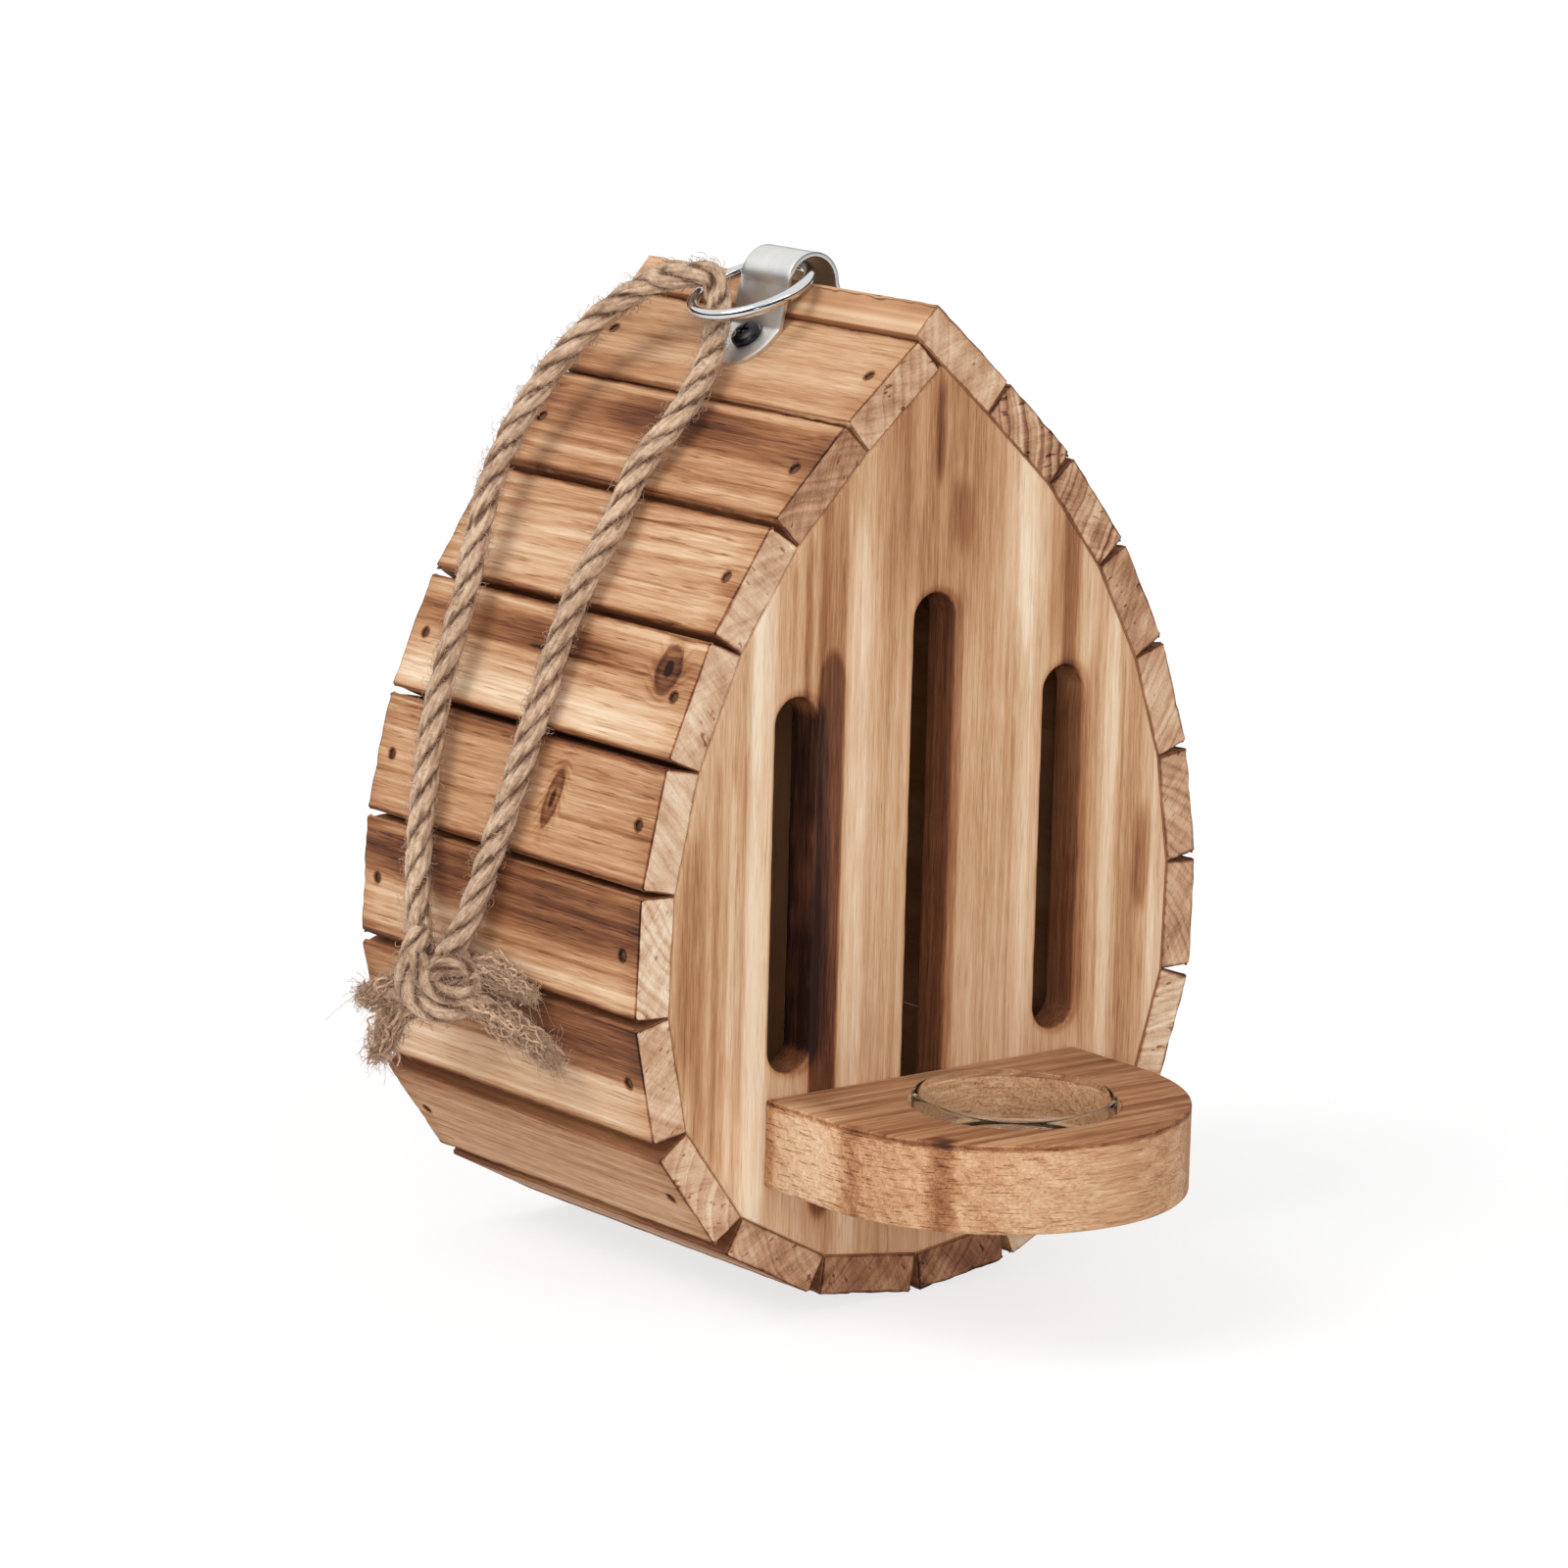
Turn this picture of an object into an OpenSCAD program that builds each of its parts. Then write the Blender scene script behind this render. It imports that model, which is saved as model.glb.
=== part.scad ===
// Teardrop butterfly feeder of wooden slats, with a nectar shelf and a rope hanger.
// Millimetres. +Z is up, the slotted front faces -Y, X = 0 is the middle of the front.
// Z = 0 is the floor under the lowest slats, Y = 0 the middle of body and shelf.

/* [Teardrop outline] */
// Slope of the roof at the peak, in degrees from level
roof_slope = 41; // [37:0.5:44]
// Length of the straight roof below the peak
roof_run = 30; // [26:1:40]
// Radius of the long curve of each side
side_r = 150; // [135:1:170]
// Slope where the side curve meets the belly curve
side_turn = 97; // [94:0.5:100]
// Radius of the belly curve
belly_r = 62; // [56:1:70]
// Slope of the lowest slats, in degrees from level
bottom_slope = 6.5; // [3:0.5:10]

/* [Slats] */
// Depth of the body from front to back, which is the length of a slat
body_d = 107; // [98:1:130]
// Thickness of a slat
slat_t = 9.4; // [8:0.1:11]
// Number of slats down the left side
left_slats = 10; // [9:1:12]
// Number of slats down the right side, with the ridge slat
right_slats = 11; // [10:1:13]
// Width of the ridge slat below the peak
ridge_slat_w = 18.4; // [16:0.1:24]
// Reach of the ridge slat past the peak, over the top left slat
ridge_lap = 11; // [10.4:0.1:12]
// Flat cut along the outer edges of each slat
slat_ease = 1.2; // [0.6:0.1:1.6]
// Gap left at each long edge of a slat
slat_gap = 0.3; // [0.2:0.05:0.5]

/* [Panels] */
// Thickness of the front and back panels
panel_t = 10; // [8:0.5:12]
// Width of the entrance slots
slot_w = 12; // [8:0.5:15]
// Distance of the side slots from the middle
slot_pitch = 39.5; // [34:0.5:44]
// Height of the lower end of the side slots above the floor
side_slot_foot = 57.7; // [54:0.1:70]
// Height of the upper end of the side slots above the floor
side_slot_top = 144.1; // [120:0.1:150]
// Height of the lower end of the middle slot, hidden behind the shelf
mid_slot_foot = 46; // [44:0.5:60]
// Height of the upper end of the middle slot
mid_slot_top = 164.4; // [140:0.1:172]

/* [Shelf and dish] */
// Width of the shelf
shelf_w = 92; // [84:1:100]
// Reach of the shelf in front of the panel
shelf_out = 70; // [66:1:90]
// Thickness of the shelf
shelf_t = 20.5; // [18:0.5:24]
// Height of the top of the shelf above the floor
shelf_top = 52.5; // [48:0.5:53.5]
// Distance of the dish's centre from the front panel
dish_reach = 32.7; // [30:0.1:40]
// Outer diameter of the glass dish
dish_d = 46.8; // [40:0.1:52]
// Height of the dish
dish_h = 14; // [10:0.5:17]
// Wall of the dish
dish_wall = 1.8; // [1.2:0.1:3]
// Floor of the dish
dish_floor = 2.4; // [1.6:0.1:4]
// Height of the dish's rim above the shelf
dish_proud = 2; // [1:0.5:4]
// Clearance round the dish in its recess
dish_play = 0.5; // [0.3:0.1:1]

/* [Hanger] */
// Width of the steel strap
strap_w = 17.5; // [14:0.5:20]
// Thickness of the steel strap
strap_t = 1; // [0.8:0.1:1.5]
// Outward lean of each strap leg between the arch and the roof
leg_flare = 1.5; // [1:0.5:4]
// Distance from the bend of a leg to its screw
leg_run = 4.5; // [4.5:0.5:9]
// Gap between the strap's leg and the edge of the ridge slat
strap_clear = 0.3; // [0.2:0.1:0.6]
// Radius of the ring to the middle of its wire
ring_r = 14; // [13:0.5:17]
// Diameter of the ring's wire
ring_wire = 2.8; // [2.4:0.1:3.2]
// Running clearance of the ring in the strap's arch
ring_play = 0.12; // [0.1:0.01:0.3]
// Fall of the resting ring below level, in degrees
ring_fall = 22; // [16:1:28]
// Diameter of the rope
rope_d = 6.2; // [5:0.1:6.4]
// Diameter of the knot
knot_d = 17; // [14:0.5:17]

/* [Fasteners] */
// Shank diameter of the slat brads
brad_d = 1.6; // [1.2:0.1:2]
// Length of the slat brads
brad_l = 20; // [16:1:21]
// Head diameter of the slat brads
brad_head_d = 2.4; // [2.1:0.1:3]
// Height of a brad's head
brad_head_h = 0.8; // [0.5:0.1:1.2]
// Distance of the brads from the front and back faces
brad_inset = 6; // [4:0.5:8]
// Depth of a brad's head below the slat's face
brad_sink = 0.5; // [0.2:0.1:1]
// Shank diameter of the wood screws
screw_d = 3.5; // [3:0.1:4]
// Head diameter of the wood screws
screw_head_d = 7.6; // [6.5:0.1:8]
// Height of a screw's head
screw_head_h = 2.2; // [1.6:0.1:2.8]
// Length of a strap screw below its head
strap_screw_l = 9; // [7:0.5:10]
// Length of a shelf screw below its head
shelf_screw_l = 30; // [22:1:36]
// Distance of the shelf screws from the middle
shelf_screw_x = 28; // [20:1:36]
// Clearance between a fastener and its hole
hole_play = 0.05; // [0.03:0.01:0.1]

/* [Hidden] */
$fn = 96;

// Half of the teardrop, walked from the peak down the right side to the lowest point
belly_turn = 180 - bottom_slope;
side_len = side_r * (side_turn - roof_slope) * PI / 180;
belly_len = belly_r * (belly_turn - side_turn) * PI / 180;
function outward(slope) = [sin(slope), cos(slope)];
function downhill(slope) = [cos(slope), -sin(slope)];
roof_foot = roof_run * downhill(roof_slope);
side_mid = roof_foot - side_r * outward(roof_slope);
belly_mid = side_mid + (side_r - belly_r) * outward(side_turn);
belly_foot = belly_mid + belly_r * outward(belly_turn);
base_len = belly_foot[0] / cos(bottom_slope);
half_len = roof_run + side_len + belly_len + base_len;

// Point of the half outline at a walked length from the peak
function outline_at(s) =
    s <= roof_run ? s * downhill(roof_slope)
    : s <= roof_run + side_len
        ? side_mid + side_r * outward(roof_slope + (s - roof_run) / side_r * 180 / PI)
    : s <= roof_run + side_len + belly_len
        ? belly_mid + belly_r * outward(side_turn + (s - roof_run - side_len) / belly_r * 180 / PI)
    : belly_foot + (s - half_len + base_len) * downhill(belly_turn);

// Slat joint i on a side, where 0 is the peak and the last one the lowest point
function joint_at(left, i) =
    left ? outline_at(i * half_len / left_slats)
    : i == 0 ? outline_at(0)
    : outline_at(ridge_slat_w + (i - 1) * (half_len - ridge_slat_w) / (right_slats - 1));
function slat_slope(left, i) =
    let (run = joint_at(left, i) - joint_at(left, i - 1)) atan2(-run[1], run[0]);
function slat_w(left, i) = norm(joint_at(left, i) - joint_at(left, i - 1));

// Overrun of a cut past the face that it opens
cut_over = 1;

// Heights and depths of the body
foot_slope = 180 - max(slat_slope(true, left_slats), slat_slope(false, right_slats));
base_z = slat_t * cos(foot_slope) - (slat_gap + slat_ease) * sin(foot_slope);
peak_z = base_z - outline_at(half_len)[1];
front_y = -(body_d - shelf_out) / 2;
back_y = front_y + body_d;
mid_y = (front_y + back_y) / 2;

// Ridge slat and the top left slat that butts under it
butt_gap = slat_gap + slat_t * tan(90 - 2 * roof_slope);
ridge_low_x = -ridge_lap * cos(roof_slope);
ridge_top = peak_z + (ridge_lap - slat_ease) * sin(roof_slope) + slat_t * cos(roof_slope);
function roof_z(x) = peak_z + slat_t / cos(roof_slope) - abs(x) * tan(roof_slope);
function along_roof(x) = (abs(x) - slat_t * sin(roof_slope)) / cos(roof_slope);

// The ring turns in the strap's arch about the middle of the bow that its wire has there,
// and ring_sweep is the radius that this bow sweeps
ring_hole_r = ring_r - ring_wire / 2;
ring_rim_r = ring_r + ring_wire / 2;
ring_reach = (ring_rim_r + sqrt(ring_hole_r * ring_hole_r - strap_w * strap_w / 4)) / 2;
ring_sweep = ring_rim_r - ring_reach;
arch_r = 2 * (ring_sweep + ring_play);
arch_x = ridge_low_x - strap_clear + arch_r;
arch_z = ridge_top;
hinge_z = arch_z + arch_r / 2;
left_bend = along_roof(arch_x - arch_r - leg_flare);
right_bend = along_roof(arch_x + arch_r + leg_flare);

// Shelf and dish
shelf_mid_z = shelf_top - shelf_t / 2;
dish_y = front_y - dish_reach;
dish_base = shelf_top + dish_proud - dish_h;

// Rope's route, from the knot up the back leg, through the ring and down the front leg
rope_sides = 10;
rope_route = [
    [-92, 51, 79], [-90, 56, 88], [-87, 60, 102], [-85, 61, 114], [-82, 62, 130],
    [-78, 62, 145], [-73, 63, 158], [-67, 67, 170], [-60, 71, 183], [-52, 73, 195],
    [-43, 73, 206], [-34, 71, 216], [-28, 66, 223], [-24, 59, 228], [-23, 52, 230],
    [-21, 48, 231], [-18, 44, 231], [-17, 43, 227], [-18, 41, 223], [-21, 38, 219],
    [-25, 34, 215], [-31, 31, 209], [-38, 29, 202], [-48, 30, 191], [-58, 27, 178],
    [-66, 27, 166], [-72, 27, 154], [-77, 27, 141], [-81, 28, 128], [-84, 30, 116],
    [-86, 34, 103], [-88, 38, 90], [-91, 43, 79]
];
knot_mid = [-93, 47, 72];
tail_ends = [[-89, 72, 52], [-89, 10, 76], [-88, 6, 61]];
tail_d = 7;

function unit(v) = v / norm(v);
function rope_way(i) =
    unit(rope_route[min(i + 1, len(rope_route) - 1)] - rope_route[max(i - 1, 0)]);
function beside(v, way) = unit(v - (v * way) * way);

// Carries its children to the right side, or mirrored to the left side
module on_side(left) {
    if (left) mirror([1, 0, 0]) children();
    else children();
}

// Carries its children to slat i: X runs down the slat's width, Z points outward
module at_slat(left, i) {
    start = joint_at(left, i - 1);
    on_side(left)
        translate([start[0], 0, peak_z + start[1]])
            rotate([0, slat_slope(left, i), 0])
                children();
}

// Extrudes a flat shape drawn in X and Z from y0 back to y1
module extrude_back(y0, y1) {
    translate([0, y1, 0]) rotate([90, 0, 0]) linear_extrude(y1 - y0) children();
}

// One brad, its head sunk below the slat's face, or with play the hole for it
module brad(play = 0) {
    top = slat_t - brad_sink;
    open = play > 0 ? brad_sink + cut_over : 0;
    translate([0, 0, top - brad_l - play]) cylinder(h = brad_l + play, d = brad_d + 2 * play);
    translate([0, 0, top - brad_head_h - play])
        cylinder(h = brad_head_h + play + open, d = brad_head_d + 2 * play);
}

// Every brad along one end of the slats
module brad_row(y, play = 0) {
    for (i = [1 : left_slats]) at_slat(true, i)
        translate([slat_w(true, i) / 2, y, 0]) brad(play);
    for (i = [1 : right_slats]) at_slat(false, i)
        translate([slat_w(false, i) / 2, y, 0]) brad(play);
}

// One pan head screw along +Z, its head's seat at Z = 0
module wood_screw(length) {
    translate([0, 0, -length]) cylinder(h = length, d = screw_d);
    cylinder(h = screw_head_h, d = screw_head_d);
}

// Hole for a screw's shank, open at its seat
module screw_hole(length) {
    translate([0, 0, -length - hole_play])
        cylinder(h = length + hole_play + cut_over, d = screw_d + 2 * hole_play);
}

// One slat, seated on its facet of the panels
module slat(left, i) {
    low = !left && i == 1 ? -ridge_lap : left && i == 1 ? butt_gap : slat_gap;
    high = slat_w(left, i) - slat_gap;
    at_slat(left, i) difference() {
        extrude_back(front_y, back_y) polygon([
            [low, 0], [high, 0], [high, slat_t - slat_ease],
            [high - slat_ease, slat_t], [low + slat_ease, slat_t], [low, slat_t - slat_ease]
        ]);
        for (y = [front_y + brad_inset, back_y - brad_inset])
            translate([slat_w(left, i) / 2, y, 0]) brad(hole_play);
        if (i == 1) translate([leg_screw(left), mid_y, slat_t + strap_t])
            screw_hole(strap_screw_l);
    }
}

// Distance of a strap screw from the peak, down the roof
function leg_screw(left) = leg_run + (left ? left_bend : right_bend);

// Flat outline of both panels, with a corner at each slat joint
module panel_outline() {
    translate([0, peak_z]) polygon(concat(
        [for (i = [0 : right_slats]) joint_at(false, i)],
        [for (i = [left_slats - 1 : -1 : 1]) [-joint_at(true, i)[0], joint_at(true, i)[1]]]
    ));
}

// An upright slot with round ends
module slot(x, foot, top) {
    translate([x, foot + slot_w / 2]) circle(d = slot_w);
    translate([x, top - slot_w / 2]) circle(d = slot_w);
    translate([x - slot_w / 2, foot + slot_w / 2]) square([slot_w, top - foot - slot_w]);
}

module at_shelf_screws() {
    for (side = [-1, 1])
        translate([side * shelf_screw_x, front_y + panel_t, shelf_mid_z])
            rotate([-90, 0, 0])
                children();
}

// Front panel with three entrance slots
module front_panel() {
    color("#b98a5c") difference() {
        extrude_back(front_y, front_y + panel_t) difference() {
            panel_outline();
            slot(-slot_pitch, side_slot_foot, side_slot_top);
            slot(0, mid_slot_foot, mid_slot_top);
            slot(slot_pitch, side_slot_foot, side_slot_top);
        }
        brad_row(front_y + brad_inset, hole_play);
        at_shelf_screws() screw_hole(shelf_screw_l);
    }
}

// Plain back panel
module back_panel() {
    color("#a97b50") difference() {
        extrude_back(back_y - panel_t, back_y) panel_outline();
        brad_row(back_y - brad_inset, hole_play);
    }
}

// Shelf with a half round front and a blind recess for the dish
module shelf() {
    color("#c79f74") difference() {
        translate([0, front_y - shelf_out, shelf_top - shelf_t]) linear_extrude(shelf_t) {
            intersection() {
                translate([0, shelf_w / 2]) circle(d = shelf_w);
                translate([-shelf_w / 2, 0]) square([shelf_w, shelf_w / 2]);
            }
            translate([-shelf_w / 2, shelf_w / 2]) square([shelf_w, shelf_out - shelf_w / 2]);
        }
        translate([0, dish_y, dish_base])
            cylinder(h = dish_h, d = dish_d + 2 * dish_play);
        at_shelf_screws() screw_hole(shelf_screw_l);
    }
}

// Round glass dish with a rolled rim
module nectar_dish() {
    lip = dish_wall / 2;
    color("#dfe8e6", 0.5) translate([0, dish_y, dish_base]) rotate_extrude() {
        square([dish_d / 2, dish_floor]);
        translate([dish_d / 2 - dish_wall, 0]) square([dish_wall, dish_h - lip]);
        translate([dish_d / 2 - lip, dish_h - lip]) circle(r = lip);
    }
}

// Flat leg of the strap on the roof, with a round end and a screw hole
module strap_leg(left) {
    bend = left ? left_bend : right_bend;
    at_slat(left, 1) translate([0, mid_y, slat_t]) difference() {
        linear_extrude(strap_t) {
            translate([bend, -strap_w / 2]) square([leg_run, strap_w]);
            translate([leg_screw(left), 0]) circle(d = strap_w);
        }
        translate([leg_screw(left), 0, strap_t]) screw_hole(strap_t + cut_over);
        translate([bend - strap_w, -strap_w, -cut_over])
            cube([strap_w, 2 * strap_w, strap_t + 2 * cut_over]);
    }
}

// Steel strap: an arch over the ridge between two legs
module hanger_strap() {
    color("#b9bcbd") {
        extrude_back(mid_y - strap_w / 2, mid_y + strap_w / 2) {
            difference() {
                translate([arch_x, arch_z]) circle(r = arch_r + strap_t);
                translate([arch_x, arch_z]) circle(r = arch_r);
                translate([arch_x - 2 * arch_r, arch_z - 4 * arch_r]) square(4 * arch_r);
            }
            for (side = [-1, 1]) {
                inner = arch_x + side * arch_r;
                outer = inner + side * strap_t;
                polygon([
                    [inner, arch_z], [outer, arch_z],
                    [outer + side * leg_flare, roof_z(outer + side * leg_flare)],
                    [inner + side * leg_flare, roof_z(inner + side * leg_flare)]
                ]);
            }
        }
        strap_leg(true);
        strap_leg(false);
    }
}

// Pan head screws through the strap's legs into the two top slats
module strap_screws() {
    color("#2b2a29") for (left = [true, false])
        at_slat(left, 1) translate([leg_screw(left), mid_y, slat_t + strap_t])
            wood_screw(strap_screw_l);
}

// Screws from inside the body through the front panel into the shelf
module shelf_screws() {
    color("#8b8d8e") at_shelf_screws() wood_screw(shelf_screw_l);
}

// Steel ring, hung in the strap's arch and lying over to the left
module hanger_ring() {
    color("#d8dadc") translate([arch_x, mid_y, hinge_z])
        rotate([0, -ring_fall, 0])
            translate([-ring_reach, 0, 0])
                rotate_extrude() translate([ring_r, 0]) circle(d = ring_wire);
}

// Jute rope as one tube along its route
module rope() {
    count = len(rope_route);
    sides = [
        for (i = 0, n = beside([0, 1, 0], rope_way(0)); i < count;
            i = i + 1, n = i < count ? beside(n, rope_way(i)) : n) n
    ];
    points = [
        for (i = [0 : count - 1], k = [0 : rope_sides - 1])
            let (turn = k * 360 / rope_sides)
                rope_route[i] + rope_d / 2
                    * (cos(turn) * sides[i] + sin(turn) * cross(rope_way(i), sides[i]))
    ];
    skin = [
        for (i = [0 : count - 2], k = [0 : rope_sides - 1])
            let (a = i * rope_sides + k, b = i * rope_sides + (k + 1) % rope_sides)
                each [[a, b, b + rope_sides], [a, b + rope_sides, a + rope_sides]]
    ];
    last = (count - 1) * rope_sides;
    color("#a98660") polyhedron(points, concat(
        skin,
        [[for (k = [rope_sides - 1 : -1 : 0]) k]],
        [[for (k = [0 : rope_sides - 1]) last + k]]
    ));
}

// Knot that closes the rope's loop, with its three frayed tails
module rope_knot() {
    color("#9c7a55") {
        translate(knot_mid) sphere(d = knot_d);
        for (end = tail_ends) {
            way = unit(end - knot_mid);
            translate(knot_mid) rotate([0, acos(way[2]), atan2(way[1], way[0])])
                cylinder(h = norm(end - knot_mid), d = tail_d);
        }
    }
}

// Brads through the front ends of the slats into the front panel
module front_brads() {
    color("#6f6a64") brad_row(front_y + brad_inset);
}

// Brads through the back ends of the slats into the back panel
module back_brads() {
    color("#6f6a64") brad_row(back_y - brad_inset);
}

front_panel();
back_panel();
shelf();
nectar_dish();
hanger_strap();
hanger_ring();
rope();
rope_knot();
front_brads();
back_brads();
strap_screws();
shelf_screws();
for (i = [1 : left_slats])
    color("#b07f50") slat(true, i);
for (i = [1 : right_slats])
    color("#a87545") slat(false, i);
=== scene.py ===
import math
import random

import bmesh
import bpy
from mathutils import Matrix, Vector, noise


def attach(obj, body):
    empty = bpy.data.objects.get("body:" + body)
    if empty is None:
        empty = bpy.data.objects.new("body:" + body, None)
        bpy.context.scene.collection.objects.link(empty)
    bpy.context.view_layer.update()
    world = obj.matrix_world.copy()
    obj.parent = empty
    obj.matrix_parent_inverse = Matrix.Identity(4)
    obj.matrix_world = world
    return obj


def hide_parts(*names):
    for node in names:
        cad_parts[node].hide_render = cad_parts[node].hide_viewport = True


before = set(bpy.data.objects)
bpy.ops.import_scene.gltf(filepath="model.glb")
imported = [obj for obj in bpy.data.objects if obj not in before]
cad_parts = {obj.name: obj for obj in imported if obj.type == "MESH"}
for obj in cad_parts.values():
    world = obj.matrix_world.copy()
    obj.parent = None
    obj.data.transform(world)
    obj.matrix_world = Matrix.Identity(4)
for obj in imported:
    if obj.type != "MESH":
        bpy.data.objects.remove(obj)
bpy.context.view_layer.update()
scene = bpy.context.scene
mm = 0.001
bench = {"tree": None}  # the node tree that new nodes go into


def tone(code):  # "#rrggbb" as the linear colour that Blender wants
    parts = [int(code[i : i + 2], 16) / 255 for i in (1, 3, 5)]
    return [c / 12.92 if c <= 0.04045 else ((c + 0.055) / 1.055) ** 2.4 for c in parts] + [1]


class Value:  # an output of a node, used like a number; [name] is another output of the same node
    def __init__(self, node, output=0):
        self.node, self.socket = node, node.outputs[output]

    def __getitem__(self, output):
        return Value(self.node, output)

    def __abs__(self):
        return calc("ABSOLUTE", self)


for sign, operation in (("add", "ADD"), ("sub", "SUBTRACT"), ("mul", "MULTIPLY"), ("truediv", "DIVIDE"),
                        ("pow", "POWER")):
    setattr(Value, f"__{sign}__", lambda self, other, kind=operation: calc(kind, self, other))
    setattr(Value, f"__r{sign}__", lambda self, other, kind=operation: calc(kind, other, self))


def fill(node, values):  # numbers and links into a node's inputs
    for name, value in values.items():
        if isinstance(value, Value):
            node.id_data.links.new(value.socket, node.inputs[name])
        else:
            node.inputs[name].default_value = value
    return node


def addNode(kind, values=None, **settings):
    made = bench["tree"].nodes.new(kind)
    for name, value in settings.items():
        setattr(made, name, value)
    return Value(fill(made, values or {}))


def calc(operation, *values, clamp=False):
    return addNode("ShaderNodeMath", dict(enumerate(values)), operation=operation, use_clamp=clamp)


def vectorCalc(operation, first, second):
    return addNode("ShaderNodeVectorMath", {0: first, "Scale" if operation == "SCALE" else 1: second},
                   operation=operation)


def combine(x=0.0, y=0.0, z=0.0):
    return addNode("ShaderNodeCombineXYZ", {"X": x, "Y": y, "Z": z})


def split(vector):
    return addNode("ShaderNodeSeparateXYZ", {0: vector})


def stretch(vector, x, y, z):
    return vectorCalc("MULTIPLY", vector, (x, y, z))


def speckle(vector, scale, detail=2.0, roughness=0.5):
    return addNode("ShaderNodeTexNoise",
                   {"Vector": vector, "Scale": scale, "Detail": detail, "Roughness": roughness})


def blend(share, first, second):
    return addNode("ShaderNodeMix", {0: share, 2: first, 3: second})


def blendTones(share, first, second):
    return addNode("ShaderNodeMix", {0: share, 6: first, 7: second}, data_type="RGBA")[2]


def ease(value, low, high, start=0.0, end=1.0):  # soft step from start to end
    return addNode("ShaderNodeMapRange",
                   {"Value": value, "From Min": low, "From Max": high, "To Min": start, "To Max": end},
                   interpolation_type="SMOOTHSTEP")


def fade(value, low, high):  # soft step down
    return ease(value, low, high, 1.0, 0.0)


def socketKind(value):  # from the default value, or as it is named where there is none
    if isinstance(value, str):
        return value
    if isinstance(value, tuple):
        return "Vector" if len(value) == 3 else "Color"
    return "Int" if isinstance(value, int) else "Float"


def addGroup(name, kind, inputs, outputs):
    tree = bench["tree"] = bpy.data.node_groups.new(name, kind)
    for way, sockets in (("INPUT", inputs), ("OUTPUT", outputs)):
        for label, value in sockets.items():
            socket = tree.interface.new_socket(label, in_out=way, socket_type="NodeSocket" + socketKind(value))
            if not isinstance(value, str):
                socket.default_value = value
    return tree, Value(tree.nodes.new("NodeGroupInput")), tree.nodes.new("NodeGroupOutput")


def addPiece(name, mesh, *materials):
    mesh.name = name
    piece = bpy.data.objects.new(name, mesh)
    scene.collection.objects.link(piece)
    if materials:
        mesh.materials.clear()
    for material in materials:
        mesh.materials.append(material)
    return piece


def settle(piece):  # turns a piece and its modifiers into a plain mesh
    bpy.context.view_layer.update()
    shaped = bpy.data.meshes.new_from_object(
        piece.evaluated_get(bpy.context.evaluated_depsgraph_get())
    )
    shaped.name = piece.name
    piece.modifiers.clear()
    if piece.type == "MESH":
        piece.data = shaped
        return piece
    name = piece.name
    bpy.data.objects.remove(piece)
    return addPiece(name, shaped)


def writeMesh(solid, mesh):  # with every face outwards
    bmesh.ops.recalc_face_normals(solid, faces=solid.faces)
    solid.to_mesh(mesh)
    solid.free()
    return mesh


def cutAway(piece, tool):
    cutter = piece.modifiers.new("cut", "BOOLEAN")
    cutter.object, cutter.solver = tool, "EXACT"
    settle(piece)
    bpy.data.objects.remove(tool)


def roundEdges(piece, width, segments, degrees):
    rounding = piece.modifiers.new("edge", "BEVEL")
    rounding.width, rounding.segments = width * mm, segments
    rounding.limit_method, rounding.angle_limit = "ANGLE", math.radians(degrees)
    settle(piece)


def register(piece, body, slot, *nodes):
    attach(piece, body)
    if nodes:
        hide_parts(*nodes)
    return piece


# Camera at the photograph's place, found by fitting the slat joints, slots and shelf
viewpoint = {
    "place": (-876.69, -1054.96, 394.81),
    "right": (0.78212, -0.62263, 0.02493),
    "up": (0.10479, 0.17087, 0.97970),
    "lens": 139.25,
}
cameraData = bpy.data.cameras.new("photoCamera")
cameraData.lens = viewpoint["lens"]
cameraData.sensor_width = 36
cameraData.clip_end = 30
camera = bpy.data.objects.new("photoCamera", cameraData)
scene.collection.objects.link(camera)
across = Vector(viewpoint["right"]).normalized()
upward = Vector(viewpoint["up"])
upward = (upward - upward.dot(across) * across).normalized()
toCamera = across.cross(upward)
camera.matrix_world = Matrix.Translation(Vector(viewpoint["place"]) * mm) @ Matrix(
    (across, upward, toCamera)
).transposed().to_4x4()
scene.camera = camera
scene.view_settings.view_transform = "Standard"
print("camera placed")


# Rope: one loop of three laid strands, closed by a knot
ropeRoute = [
    (-92, 51, 79), (-90, 56, 88), (-87, 60, 102), (-85, 61, 114), (-82, 62, 130),
    (-78, 62, 145), (-73, 63, 158), (-67, 67, 170), (-60, 71, 183), (-52, 73, 195),
    (-43, 73, 206), (-34, 71, 216), (-28, 66, 223), (-24, 59, 228), (-23, 52, 230),
    (-21, 48, 231), (-18, 44, 231), (-17, 43, 227), (-18, 41, 223), (-21, 38, 219),
    (-25, 34, 215), (-31, 31, 209), (-38, 29, 202), (-48, 30, 191), (-58, 27, 178),
    (-66, 27, 166), (-72, 27, 154), (-77, 27, 141), (-81, 28, 128), (-84, 30, 116),
    (-86, 34, 103), (-88, 38, 90), (-91, 43, 79),
]
ropeLook = {
    "diameter": 6.2,
    "pitch": 24.5,  # run of one full turn of the lay
    "strandOffset": 1.50,
    "strandHigh": 1.56,
    "strandWide": 1.90,
    "yarns": 6,
    "yarnRelief": 0.11,
    "yarnTurns": 0.050,  # turns of the yarns for each millimetre, against the lay
    "yarnShake": 3.0,
    "shakeRate": 0.25,  # rates are turns of the noise for each millimetre
    "fluff": 0.10,
    "fluffRate": 0.9,
    "groove": 0.30,  # painted shade: how much darker the colour is in the gap between two yarns
    "sides": 30,
    "step": 0.62,
    "unevenness": 0.10,
    "unevenRate": 0.12,
}


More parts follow.
